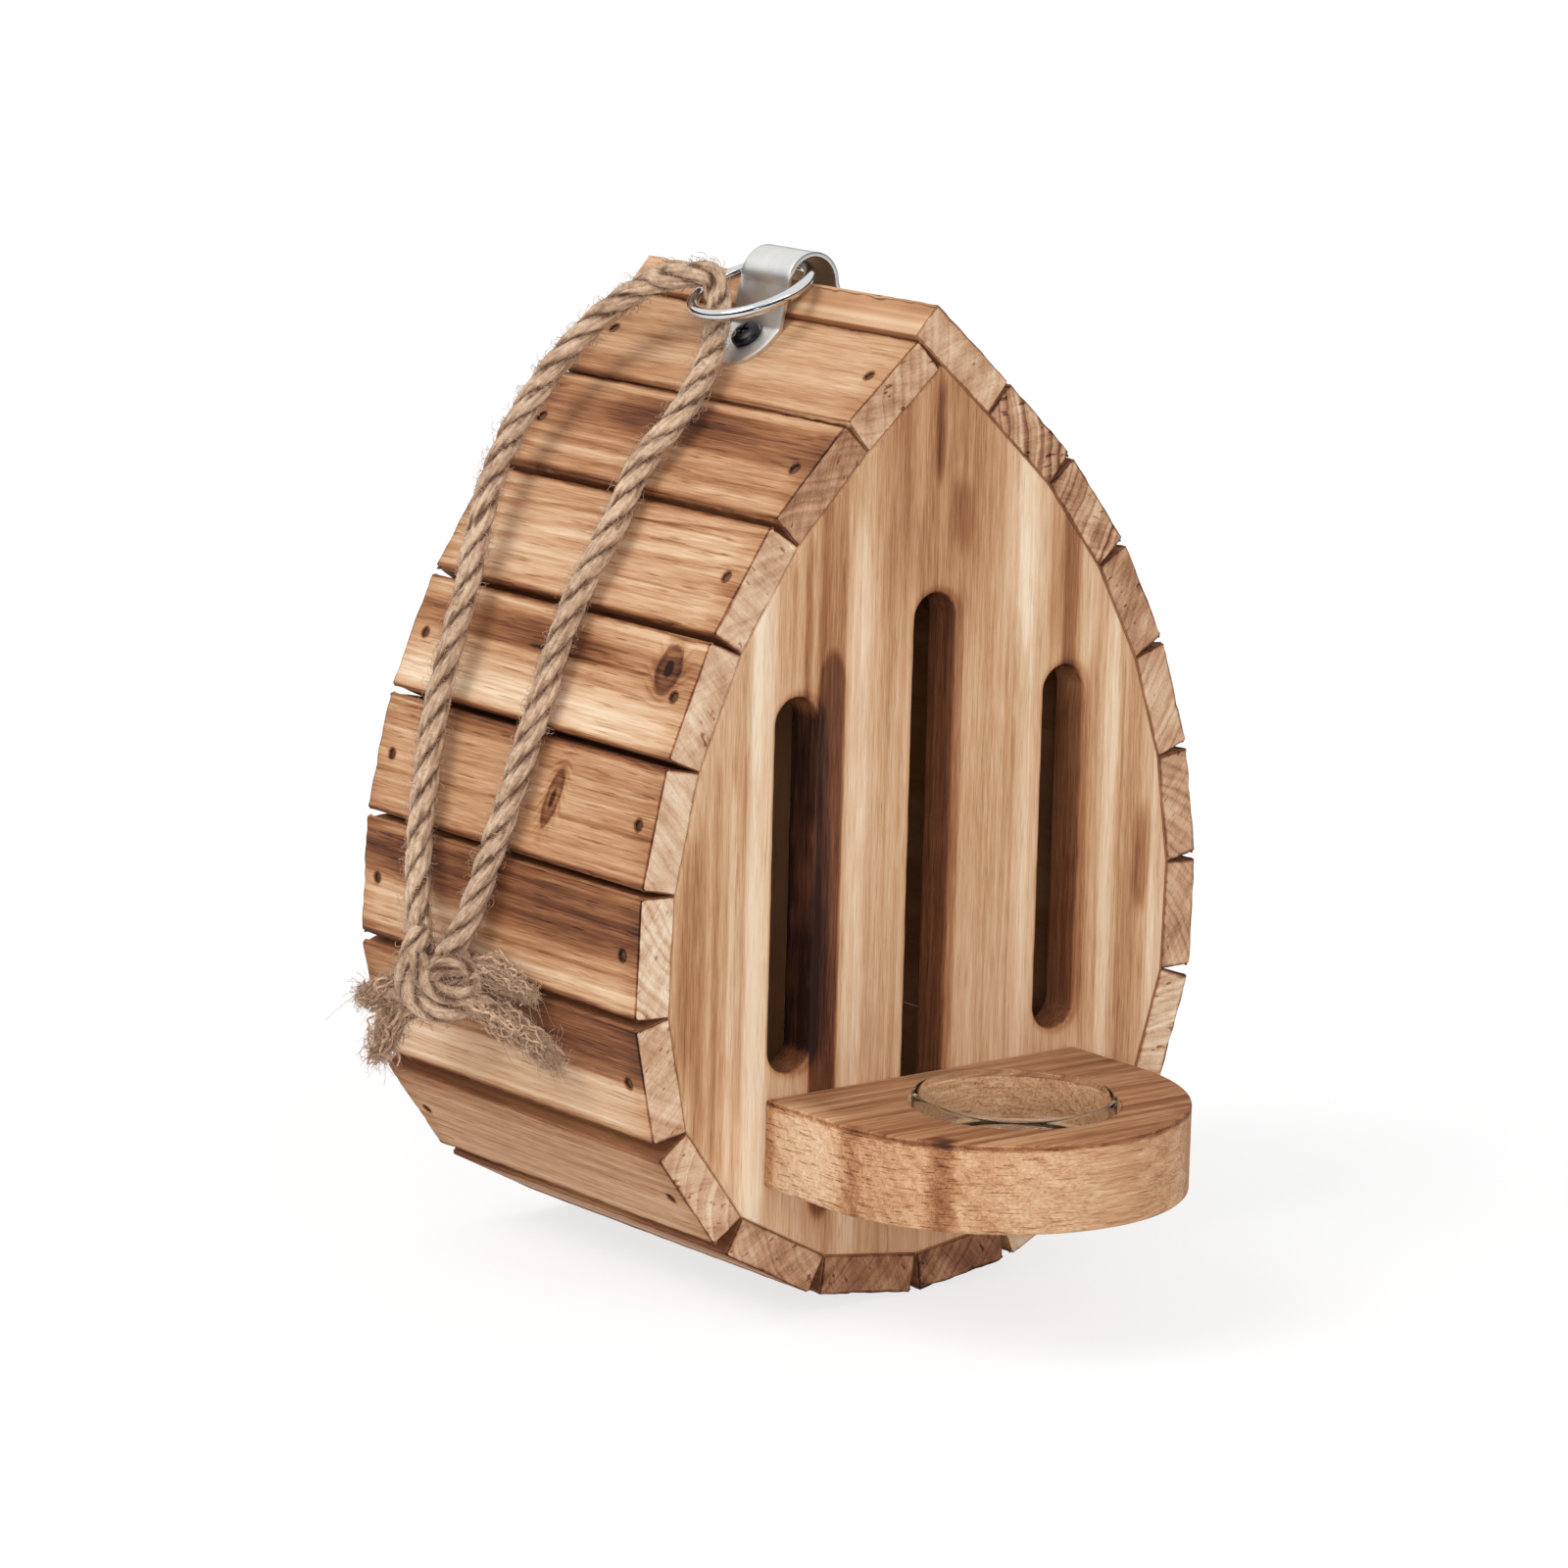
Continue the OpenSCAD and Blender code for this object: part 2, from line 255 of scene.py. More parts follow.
def smoothRoute(points, step):
    points = [Vector(p) for p in points]
    points = [2 * points[0] - points[1]] + points + [2 * points[-1] - points[-2]]
    dense = []
    for i in range(1, len(points) - 2):
        a, b, c, d = points[i - 1 : i + 3]
        for k in range(24):
            t = k / 24
            dense.append(
                0.5 * (2 * b + (c - a) * t + (2 * a - 5 * b + 4 * c - d) * t * t
                       + (3 * b - a - 3 * c + d) * t ** 3)
            )
    dense.append(points[-2])
    total = sum((dense[i + 1] - dense[i]).length for i in range(len(dense) - 1))
    count = max(2, round(total / step))
    spaced, walked, goal = [dense[0]], 0.0, total / count
    for i in range(len(dense) - 1):
        run = (dense[i + 1] - dense[i]).length
        while walked + run >= goal - 1e-9 and len(spaced) < count:
            spaced.append(dense[i].lerp(dense[i + 1], (goal - walked) / run))
            goal += total / count
        walked += run
    spaced.append(dense[-1])
    return spaced, total


def carryFrames(path):
    frames, side = [], Vector((0, 1, 0))
    for i in range(len(path)):
        way = (path[min(i + 1, len(path) - 1)] - path[max(i - 1, 0)]).normalized()
        side = (side - side.dot(way) * way).normalized()
        frames.append((side, way.cross(side)))
    return frames


def layRope(name, route, look, seed=0):
    path, total = smoothRoute(route, look["step"])
    frames = carryFrames(path)
    mesh = bpy.data.meshes.new(name)
    verts, faces, layUv, creviceShades = [], [], [], []
    sides, rings = look["sides"], len(path)
    spacing = total / (rings - 1)
    for strand in range(3):
        base = len(verts)
        for i, (spot, (side, other)) in enumerate(zip(path, frames)):
            along = i * spacing
            turn = 2 * math.pi * (along / look["pitch"] + strand / 3)
            out = math.cos(turn) * side + math.sin(turn) * other
            aside = -math.sin(turn) * side + math.cos(turn) * other
            uneven = noise.noise(Vector((along * look["unevenRate"], strand * 9.7, seed)))
            uneven = 1 + look["unevenness"] * uneven
            for k in range(sides):
                angle = 2 * math.pi * k / sides
                yarn = angle + 2 * math.pi * look["yarnTurns"] * along
                x, y = math.cos(yarn), math.sin(yarn)
                shaken = noise.noise(Vector((along * look["shakeRate"], x, y + strand * 5.3 + seed)))
                crest = math.cos(look["yarns"] * yarn + look["yarnShake"] * shaken)
                relief = 1 + look["yarnRelief"] * (crest - 0.3)
                fluff = noise.noise(Vector((along * look["fluffRate"], 2.2 * x, 2.2 * y + strand)))
                relief *= 1 + look["fluff"] * fluff
                high = look["strandHigh"] * math.cos(angle) * relief * uneven
                wide = look["strandWide"] * math.sin(angle) * relief * uneven
                verts.append((spot + ((look["strandOffset"] + high) * out + wide * aside)) * mm)
                # painted shade: the colour darkens towards the rope's axis, between the strands, and more in the gaps
                # between yarns
                paintedShade = look["groove"] * max(0.0, -crest - 0.2) * (1 + 1.5 * shaken)
                creviceShades.append((look["strandOffset"] + high) / (look["diameter"] / 2) - paintedShade)
        for i in range(rings - 1):
            for k in range(sides):
                a, b = base + i * sides + k, base + i * sides + (k + 1) % sides
                faces.append((a, b, b + sides, a + sides))
                u0, u1 = i * spacing, (i + 1) * spacing
                w0, w1 = look["yarnTurns"] * u0, look["yarnTurns"] * u1  # the lay's UV turns with the yarns
                v0, v1 = strand * 9 + k / sides, strand * 9 + (k + 1) / sides
                layUv += [(u0 * mm, v0 + w0), (u0 * mm, v1 + w0), (u1 * mm, v1 + w1), (u1 * mm, v0 + w1)]
        for ring, turned in ((0, True), (rings - 1, False)):
            cap = [base + ring * sides + k for k in range(sides)]
            faces.append(tuple(reversed(cap)) if turned else tuple(cap))
            layUv += [(0, strand)] * sides
    mesh.from_pydata(verts, [], faces)
    lay = mesh.uv_layers.new(name="lay")
    for loop, value in enumerate(layUv):
        lay.data[loop].uv = value
    # the painted shade's mask, read by the jute finish
    creviceShade = mesh.attributes.new("creviceShade", "FLOAT", "POINT")
    creviceShade.data.foreach_set("value", creviceShades)
    mesh.shade_smooth()
    return mesh, [p * mm for p in path], total * mm


ropeMesh, ropePath, ropeLength = layRope("rope_loop", ropeRoute, ropeLook)
ropeLoop = addPiece("rope_loop", ropeMesh)
print("rope laid, length", round(ropeLength, 4))

knotLook = {
    "middle": (-93, 47, 72),
    "aside": (2.36, 1.47, 0.0),  # the tied knot's middle from the ball's, right, up and towards the camera
    "sides": 20,
    # each bundle's size and its way through the knot: right, up, towards the camera
    "ways": [
        (0.90, [(-4.3, 11.6, 0), (-5.2, 8.4, 0.4), (-6.6, 4.8, 1.2), (-7.4, 0.8, 2.2), (-6.4, -3.6, 3.4),
                (-3.2, -6.6, 4.2), (1.0, -7.5, 4.6), (5.0, -6.4, 4.8), (8.4, -5.4, 5.4), (12.0, -6.8, 8.0)]),
        (0.90, [(5.5, 11.5, 1.4), (4.6, 8.2, 2.2), (2.4, 5.0, 3.2), (-0.8, 1.8, 3.4), (-3.8, -1.4, 2.2),
                (-6.8, -3.2, -0.4), (-9.6, -3.8, -2.6), (-12.2, -4.6, -3.6)]),
        (0.80, [(-5.6, 5.4, 0.6), (-3.9, 2.6, 4.2), (-2.2, -1.4, 6.0), (1.4, -3.4, 6.6), (5.2, -3.0, 6.4),
                (7.8, -1.0, 5.6), (10.4, 1.2, 6.2)]),
        (0.72, [(-1.6, -0.8, 4.6), (0.2, 2.4, 6.4), (3.4, 3.6, 6.8), (6.6, 2.4, 6.2), (8.8, -0.6, 5.6),
                (9.6, -3.8, 5.8)]),
        (0.66, [(0.2, -2.8, 4.2), (1.8, -0.4, 5.8), (4.4, 1.0, 6.2), (7.4, 0.6, 5.2), (9.4, -1.6, 5.0)]),
        (0.74, [(2.6, 7.0, 0.4), (5.2, 5.6, 2.4), (8.0, 3.4, 3.4), (10.6, 2.8, 5.0)]),
        (0.80, [(-8.0, -1.0, -2.4), (-5.6, -4.6, -0.6), (-6.4, -7.2, -1.8), (-9.6, -8.0, -3.6)]),
    ],
}
knotTurn = Matrix((across, upward, toCamera)).transposed()
knotMiddle = Vector(knotLook["middle"]) + knotTurn @ Vector(knotLook["aside"])
joined = bmesh.new()
for k, (slim, way) in enumerate(knotLook["ways"]):
    route = [knotMiddle + knotTurn @ Vector(p) for p in way]
    strandSize = {key: ropeLook[key] * slim for key in ("strandOffset", "strandHigh", "strandWide")}
    joined.from_mesh(layRope("knot", route, dict(ropeLook, sides=knotLook["sides"], **strandSize), seed=5 + k)[0])
knotMesh = bpy.data.meshes.new("rope_knot_tied")
joined.to_mesh(knotMesh)
joined.free()
knotMesh.shade_smooth()
ropeKnot = addPiece("rope_knot_tied", knotMesh)

frayLook = {
    "tails": [  # way of each brush as right, up, towards the camera and radius, from the knot's middle
        [(-7.5, -1.0, -1.5, 2.6), (-11.0, -2.0, -3, 3.4), (-14.0, -3.4, -4, 3.6), (-17.0, -4.4, -5, 2.6)],
        [(-7.5, -5.0, -1.5, 2.6), (-10.8, -9.0, -3, 3.5), (-12.4, -12.5, -4, 3.5), (-14.0, -17.0, -5, 3.2)],
        [(6.5, 3.6, 2.5, 2.8), (12.0, 1.8, 8, 3.7), (17.0, -0.6, 13, 3.3), (21.5, -2.8, 18, 1.9)],
        [(6.5, -4.4, 5, 2.8), (13.5, -8.0, 11, 3.4), (20.0, -11.8, 17, 3.6), (26.6, -16.6, 22.5, 3.4)],
    ],
    "wall": -85.2,  # the slats stand behind this
    "yarns": 34,
    "yarnSteps": 34,
    "yarnRadius": (0.20, 0.42),
    "yarnStart": (0.0, 0.15),  # parts of the brush's way
    "yarnEnd": (0.72, 1.06),
    "yarnSpread": 0.52,
    "bow": 0.9,
    "crimp": 2.0,  # sway of a yarn that keeps the twist's shape
    "crimpRun": (1.5, 3.4),
    "tipCurl": 1.6,
    "tipFrom": 0.72,
    "hairs": 420,
    "hairSteps": 11,
    "hairRadius": (0.05, 0.11),
    "hairRun": (0.25, 0.6),  # part of the way that a hair follows
    "hairSpread": 0.55,
    "curl": 1.1,
    "turns": ((2, 5), (5, 9), (9, 14)),
    "flared": 0.22,  # share of the hairs that bend away
    "flare": 2.6,
}


def fibreTube(verts, faces, path, radii, sides):
    base = len(verts)
    for spot, (side, other), radius in zip(path, carryFrames(path), radii):
        for k in range(sides):
            angle = 2 * math.pi * k / sides
            verts.append((spot + radius * (math.cos(angle) * side + math.sin(angle) * other)) * mm)
    for i in range(len(path) - 1):
        for k in range(sides):
            a, b = base + i * sides + k, base + i * sides + (k + 1) % sides
            faces.append((a, b, b + sides, a + sides))
    last = base + (len(path) - 1) * sides
    faces.append(tuple(base + k for k in reversed(range(sides))))
    faces.append(tuple(last + k for k in range(sides)))


def frayTails(look, seed):
    pick = random.Random(seed)
    noise.seed_set(seed)  # without it noise_vector differs from run to run

    def loose(scale):
        return scale * Vector([pick.gauss(0, 1) for _ in range(3)])

    def spread(scale, most):  # a fibre's place in the brush, in radii
        offset = loose(scale)
        return offset * min(1.0, most / max(offset.length, 0.01))

    def keepOut(spot):
        spot.x = min(spot.x, look["wall"] - 0.4 * abs(math.sin(3.1 * spot.y)))
        return spot

    verts, faces = [], []
    for tail in look["tails"]:
        way = [knotMiddle + knotTurn @ Vector(p[:3]) for p in tail]
        wide = [p[3] for p in tail]
        total = sum((b - a).length for a, b in zip(way, way[1:]))
        onward = (way[-1] - way[-2]).normalized()

        def axisAt(t, past=1.0):  # place and radius of the brush, which goes on straight past its end
            inside = max(0.0, min(0.9999, t)) * (len(way) - 1)
            k = int(inside)
            spot = way[k].lerp(way[k + 1], inside - k)
            return (spot + max(0.0, t - 1.0) * total * past * onward,
                    wide[k] + (wide[k + 1] - wide[k]) * (inside - k))

        for _ in range(look["yarns"]):
            offset = spread(look["yarnSpread"], 1.0)
            start, stop = pick.uniform(*look["yarnStart"]), pick.uniform(*look["yarnEnd"])
            wave = total / pick.uniform(*look["crimpRun"])
            phase, bow, tipCurl = pick.uniform(0, 60), loose(look["bow"]), loose(look["tipCurl"])
            path, count = [], look["yarnSteps"]
            for i in range(count):
                u = i / (count - 1)
                t = start + (stop - start) * u
                spot, radius = axisAt(t)
                spot += radius * offset * (0.5 + 0.5 * min(1.0, 2.4 * u)) + bow * math.sin(math.pi * u)
                spot += look["crimp"] * (0.5 + 0.7 * u) * noise.noise_vector(Vector((wave * t, phase, 3.0)))
                spot += tipCurl * max(0.0, u - look["tipFrom"]) ** 2 * 8
                path.append(keepOut(spot))
            thick = pick.uniform(*look["yarnRadius"])
            radii = [thick * (1.0 - 0.45 * (i / count) ** 3) * (1 + 0.18 * math.sin(1.9 * i + phase))
                     for i in range(count)]
            fibreTube(verts, faces, path, radii, 6)
        for _ in range(look["hairs"]):
            start = pick.random() ** 0.7 * 0.9
            run = pick.uniform(*look["hairRun"])
            offset = spread(look["hairSpread"], 1.25)
            curls = [loose(look["curl"]) for _ in range(3)]
            turns = [pick.uniform(*turn) for turn in look["turns"]]
            flare = loose(1.0) if pick.random() < look["flared"] else Vector()
            path, count = [], look["hairSteps"]
            for i in range(count):
                u = i / (count - 1)
                spot, radius = axisAt(start + run * u, 0.4)
                spot += radius * offset * (0.6 + 0.4 * math.sin(math.pi * min(1.0, u + 0.25)))
                curled = sum((curl * math.sin(turn * u + k) / (1 + 0.5 * k)
                              for k, (curl, turn) in enumerate(zip(curls, turns))), Vector())
                spot += curled * (0.3 + 0.7 * u)
                spot += flare * look["flare"] * u * u
                path.append(keepOut(spot))
            thick = pick.uniform(*look["hairRadius"])
            fibreTube(verts, faces, path, [thick * (1 - 0.5 * i / count) for i in range(count)], 3)
    mesh = bpy.data.meshes.new("rope_tails")
    mesh.from_pydata(verts, [], faces)
    mesh.shade_smooth()
    return mesh


ropeTails = addPiece("rope_tails", frayTails(frayLook, 11))
print("knot and tails tied")


# Node trees of the pieces: every one ends in real geometry with its material
def position():
    return addNode("GeometryNodeInputPosition")


def place(geometry, **values):
    return addNode("GeometryNodeSetPosition", dict(values, Geometry=geometry))


def resampledLine(count):
    line = addNode("GeometryNodeCurvePrimitiveLine", {"End": (0, 0, 1)})
    return addNode("GeometryNodeResampleCurve", {"Curve": line, "Count": count})


def endTree(shape, given, out):
    real = addNode("GeometryNodeRealizeInstances", {"Geometry": shape})
    fill(out, {0: addNode("GeometryNodeSetMaterial", {"Geometry": real, "Material": given["Finish"]})})


def applyTree(piece, tree, values):
    modifier = piece.modifiers.new("shape", "NODES")
    modifier.node_group = tree
    for item in tree.interface.items_tree:
        if item.in_out == "INPUT" and item.name in values:
            modifier[item.identifier] = values[item.name]
    return settle(piece)


# Fuzz: loose jute fibres that stand off the rope and the knot
def buildFuzzTree():
    tree, given, out = addGroup("fuzzTree", "GeometryNodeTree", {
        "Rope": "Geometry", "Density": 900000.0, "Fibre Length": 0.003, "Seed": 0, "Finish": "Material",
    }, {"Geometry": "Geometry"})
    spots = addNode("GeometryNodeDistributePointsOnFaces",
                    {"Mesh": given["Rope"], "Density": given["Density"], "Seed": given["Seed"]})
    line = resampledLine(5)
    index = addNode("GeometryNodeInputIndex") / 4.0
    bow = index ** 1.6 * 0.75
    sway = calc("SINE", index * 5.0) * 0.1
    rise = calc("SINE", index * 2.4) * 0.45
    line = place(line, Position=combine(bow, sway, rise))
    ring = addNode("GeometryNodeCurvePrimitiveCircle", {"Resolution": 3, "Radius": 0.02})
    fibre = addNode("GeometryNodeCurveToMesh", {"Curve": line, "Profile Curve": ring, "Fill Caps": True})
    spin = addNode("FunctionNodeRandomValue",
                   {0: (-0.5, -0.5, 0.0), 1: (0.5, 0.5, 6.283), "Seed": given["Seed"]}, data_type="FLOAT_VECTOR")
    spin = addNode("FunctionNodeEulerToRotation", {"Euler": spin})
    turned = addNode("FunctionNodeRotateRotation", {"Rotation": spots["Rotation"], "Rotate By": spin},
                     rotation_space="LOCAL")
    grow = addNode("FunctionNodeRandomValue", {2: 0.35, 3: 1.5}, data_type="FLOAT")
    fuzz = addNode("GeometryNodeInstanceOnPoints",
                   {"Points": spots["Points"], "Instance": fibre, "Rotation": turned,
                    "Scale": grow[1] * given["Fibre Length"]})
    endTree(fuzz, given, out)
    return tree


fuzzTree = buildFuzzTree()
fuzzSettings = {
    "rope_fuzz": (ropeLoop, {"Density": 480000.0, "Fibre Length": 0.0023, "Seed": 3}),
    "knot_fuzz": (ropeKnot, {"Density": 420000.0, "Fibre Length": 0.0028, "Seed": 7}),
}
fuzzPieces = {}
for name, (source, values) in fuzzSettings.items():
    fuzzPieces[name] = applyTree(addPiece(name, source.data.copy()), fuzzTree, values)
    print(name, len(fuzzPieces[name].data.polygons), "faces")


# The body's outline, walked from the peak down one side, as the solids have it
teardrop = {
    "roofSlope": 41.0, "roofRun": 30.0, "sideRadius": 150.0, "sideTurn": 97.0,
    "bellyRadius": 62.0, "bottomSlope": 6.5, "leftSlats": 10, "rightSlats": 11,
    "ridgeWidth": 18.4, "ridgeLap": 11.0, "slatThick": 9.4, "slatGap": 0.3, "slatEase": 1.2,
    "front": -18.5, "back": 88.5, "panelThick": 10.0,
}


def outward(slope):
    return Vector((math.sin(math.radians(slope)), math.cos(math.radians(slope))))


def downhill(slope):
    return Vector((math.cos(math.radians(slope)), -math.sin(math.radians(slope))))


sideLength = teardrop["sideRadius"] * math.radians(teardrop["sideTurn"] - teardrop["roofSlope"])
bellyTurn = 180 - teardrop["bottomSlope"]
bellyLength = teardrop["bellyRadius"] * math.radians(bellyTurn - teardrop["sideTurn"])
roofFoot = teardrop["roofRun"] * downhill(teardrop["roofSlope"])
sideMiddle = roofFoot - teardrop["sideRadius"] * outward(teardrop["roofSlope"])
bellyMiddle = sideMiddle + (teardrop["sideRadius"] - teardrop["bellyRadius"]) * outward(teardrop["sideTurn"])
bellyFoot = bellyMiddle + teardrop["bellyRadius"] * outward(bellyTurn)
halfLength = (
    teardrop["roofRun"] + sideLength + bellyLength
    + bellyFoot.x / math.cos(math.radians(teardrop["bottomSlope"]))
)


def outlineAt(walked):
    run = walked - teardrop["roofRun"]
    if run <= 0:
        return walked * downhill(teardrop["roofSlope"])
    if run <= sideLength:
        turn = teardrop["roofSlope"] + math.degrees(run / teardrop["sideRadius"])
        return sideMiddle + teardrop["sideRadius"] * outward(turn)
    run -= sideLength
    if run <= bellyLength:
        turn = teardrop["sideTurn"] + math.degrees(run / teardrop["bellyRadius"])
        return bellyMiddle + teardrop["bellyRadius"] * outward(turn)
    return bellyFoot + (run - bellyLength) * downhill(bellyTurn)


def slatJoints(left):
    if left:
        return [outlineAt(i * halfLength / teardrop["leftSlats"]) for i in range(teardrop["leftSlats"] + 1)]
    step = (halfLength - teardrop["ridgeWidth"]) / (teardrop["rightSlats"] - 1)
    return [outlineAt(0)] + [outlineAt(teardrop["ridgeWidth"] + i * step) for i in range(teardrop["rightSlats"])]


joints = {left: slatJoints(left) for left in (True, False)}
slopes = {
    left: [math.degrees(math.atan2(a.y - b.y, b.x - a.x)) for a, b in zip(spots, spots[1:])]
    for left, spots in joints.items()
}
footSlope = math.radians(180 - max(slopes[True][-1], slopes[False][-1]))
peakZ = (
    teardrop["slatThick"] * math.cos(footSlope)
    - (teardrop["slatGap"] + teardrop["slatEase"]) * math.sin(footSlope)
    - outlineAt(halfLength).y
)
middleY = (teardrop["front"] + teardrop["back"]) / 2


# Slats: a sweep of the worn section, with a pit over each brad
def buildSlatTree():
    tree, given, out = addGroup("slatTree", "GeometryNodeTree", {
        "Blank": "Geometry", "Low": 0.0003, "High": 0.0275, "Thickness": 0.0094, "Length": 0.107,
        "Round": 0.0011, "End Ease": 0.0004, "Steps": 64, "Wear": 0.0003, "Seed": 0.0, "Pit Across": 0.0139,
        "Pit Along": 0.0475, "Pit Radius": 0.0015, "Pit Depth": 0.0008, "Place": (0, 0, 0), "Turn": (0, 0, 0),
        "Finish": "Material",
    }, {"Geometry": "Geometry"})
    thickness = given["Thickness"]
    width = given["High"] - given["Low"]
    middle = (given["High"] + given["Low"]) * 0.5
    section = addNode("GeometryNodeCurvePrimitiveQuadrilateral", {"Width": width, "Height": thickness},
                      mode="RECTANGLE")
    section = addNode("GeometryNodeSubdivideCurve", {"Curve": section, "Cuts": 15})
    spot = split(position())
    rounding = addNode("ShaderNodeMapRange", {
        "Value": spot["Y"], "From Min": 0.0, "From Max": 0.0001, "To Min": 0.00001, "To Max": given["Round"]})
    section = addNode("GeometryNodeFilletCurve", {"Curve": section, "Count": 4, "Radius": rounding}, mode="POLY")
    section = place(section, Offset=combine(middle, thickness * 0.5))
    # the path's second ring from each end stands at the end ease, the others are even
    path = resampledLine(given["Steps"])
    last = given["Steps"] - 1.0
    inner = (addNode("GeometryNodeInputIndex") - 1.0) / (last - 2.0)
    half = given["Length"] * 0.5
    along = (inner * 2.0 - 1.0) * (half - given["End Ease"])
    along = calc("MAXIMUM", calc("MINIMUM", along, half), half * -1.0)
    path = place(path, Position=combine(z=along))
    body = addNode("GeometryNodeCurveToMesh", {"Curve": path, "Profile Curve": section, "Fill Caps": True})
    # the end rings are drawn in by the end ease
    spot = split(position())
    atEnd = calc("GREATER_THAN", abs(spot["Z"]), half - 1e-5)
    drawn = atEnd * (given["End Ease"] * -2.0)
    halfThick = thickness * 0.5
    inX = drawn / width * (spot["X"] - middle)
    inY = drawn / thickness * (spot["Y"] - halfThick)
    body = place(body, Offset=combine(inX, inY))
    # pits
    pit = addNode("GeometryNodeMeshCone", {
        "Vertices": 11, "Radius Top": given["Pit Radius"], "Radius Bottom": given["Pit Radius"] * 0.82,
        "Depth": given["Pit Depth"] * 2.0})
    ragged = addNode("ShaderNodeTexNoise", {"Vector": position(), "Scale": 900.0})["Color"]
    ragged = stretch(vectorCalc("SUBTRACT", ragged, (0.5, 0.5, 0.5)), 0.0011, 0.0011, 0.0)
    pit = place(pit, Offset=ragged)
    pits = addNode("GeometryNodeJoinGeometry")
    for side in (1.0, -1.0):
        at = combine(given["Pit Across"], thickness - given["Pit Depth"], given["Pit Along"] * side)
        fill(pits.node, {0: addNode("GeometryNodeTransform", {
            "Geometry": pit, "Translation": at, "Rotation": (-math.pi / 2, 0.4 * side, 0)})})
    cut = addNode("GeometryNodeMeshBoolean", {"Mesh 1": body, "Mesh 2": pits},
                  operation="DIFFERENCE", solver="EXACT")
    # across, along and out of the board
    board = combine(spot["X"], spot["Z"] * -1.0, spot["Y"])
    cut = addNode("GeometryNodeStoreNamedAttribute", {"Geometry": cut, "Name": "board", "Value": board},
                  data_type="FLOAT_VECTOR", domain="POINT")
    # wear chips the outer edges and ends
    where = vectorCalc("ADD", position(), combine(given["Seed"], given["Seed"]))
    eaten = speckle(where, 230.0, 3.0) ** 3.0 * -8.0 * given["Wear"]
    reach = addNode("ShaderNodeMapRange", {
        "Value": spot["Y"], "From Min": halfThick * 0.6, "From Max": thickness})
    atSide = (abs(spot["X"] - middle) / (width * 0.5)) ** 14.0
    nearEnd = (abs(spot["Z"]) / half) ** 60.0
    eaten = eaten * (reach * calc("MAXIMUM", atSide, nearEnd))
    cut = place(cut, Offset=vectorCalc("SCALE", addNode("GeometryNodeInputNormal"), eaten))
    upright = addNode("GeometryNodeTransform", {"Geometry": cut, "Rotation": (math.pi / 2, 0, 0)})
    turned = addNode("FunctionNodeEulerToRotation", {"Euler": given["Turn"]})
    placed = addNode("GeometryNodeTransform",
                     {"Geometry": upright, "Translation": given["Place"], "Rotation": turned})
    smooth = addNode("GeometryNodeSetShadeSmooth", {"Geometry": placed})
    sharp = calc("GREATER_THAN", addNode("GeometryNodeInputMeshEdgeAngle"), 0.65)
    creased = addNode("GeometryNodeSetShadeSmooth",
                      {"Geometry": smooth, "Selection": sharp, "Shade Smooth": False}, domain="EDGE")
    endTree(creased, given, out)
    return tree


# Flamed fir: one solid grain for every board, its heat turned into colour by one ramp
charTones = [
    (0.00, "#ecd7bc"), (0.18, "#d9b795"), (0.36, "#c0936d"), (0.54, "#9c6a47"),
    (0.72, "#74472f"), (0.88, "#4b2c1f"), (1.00, "#2b1812"),
]


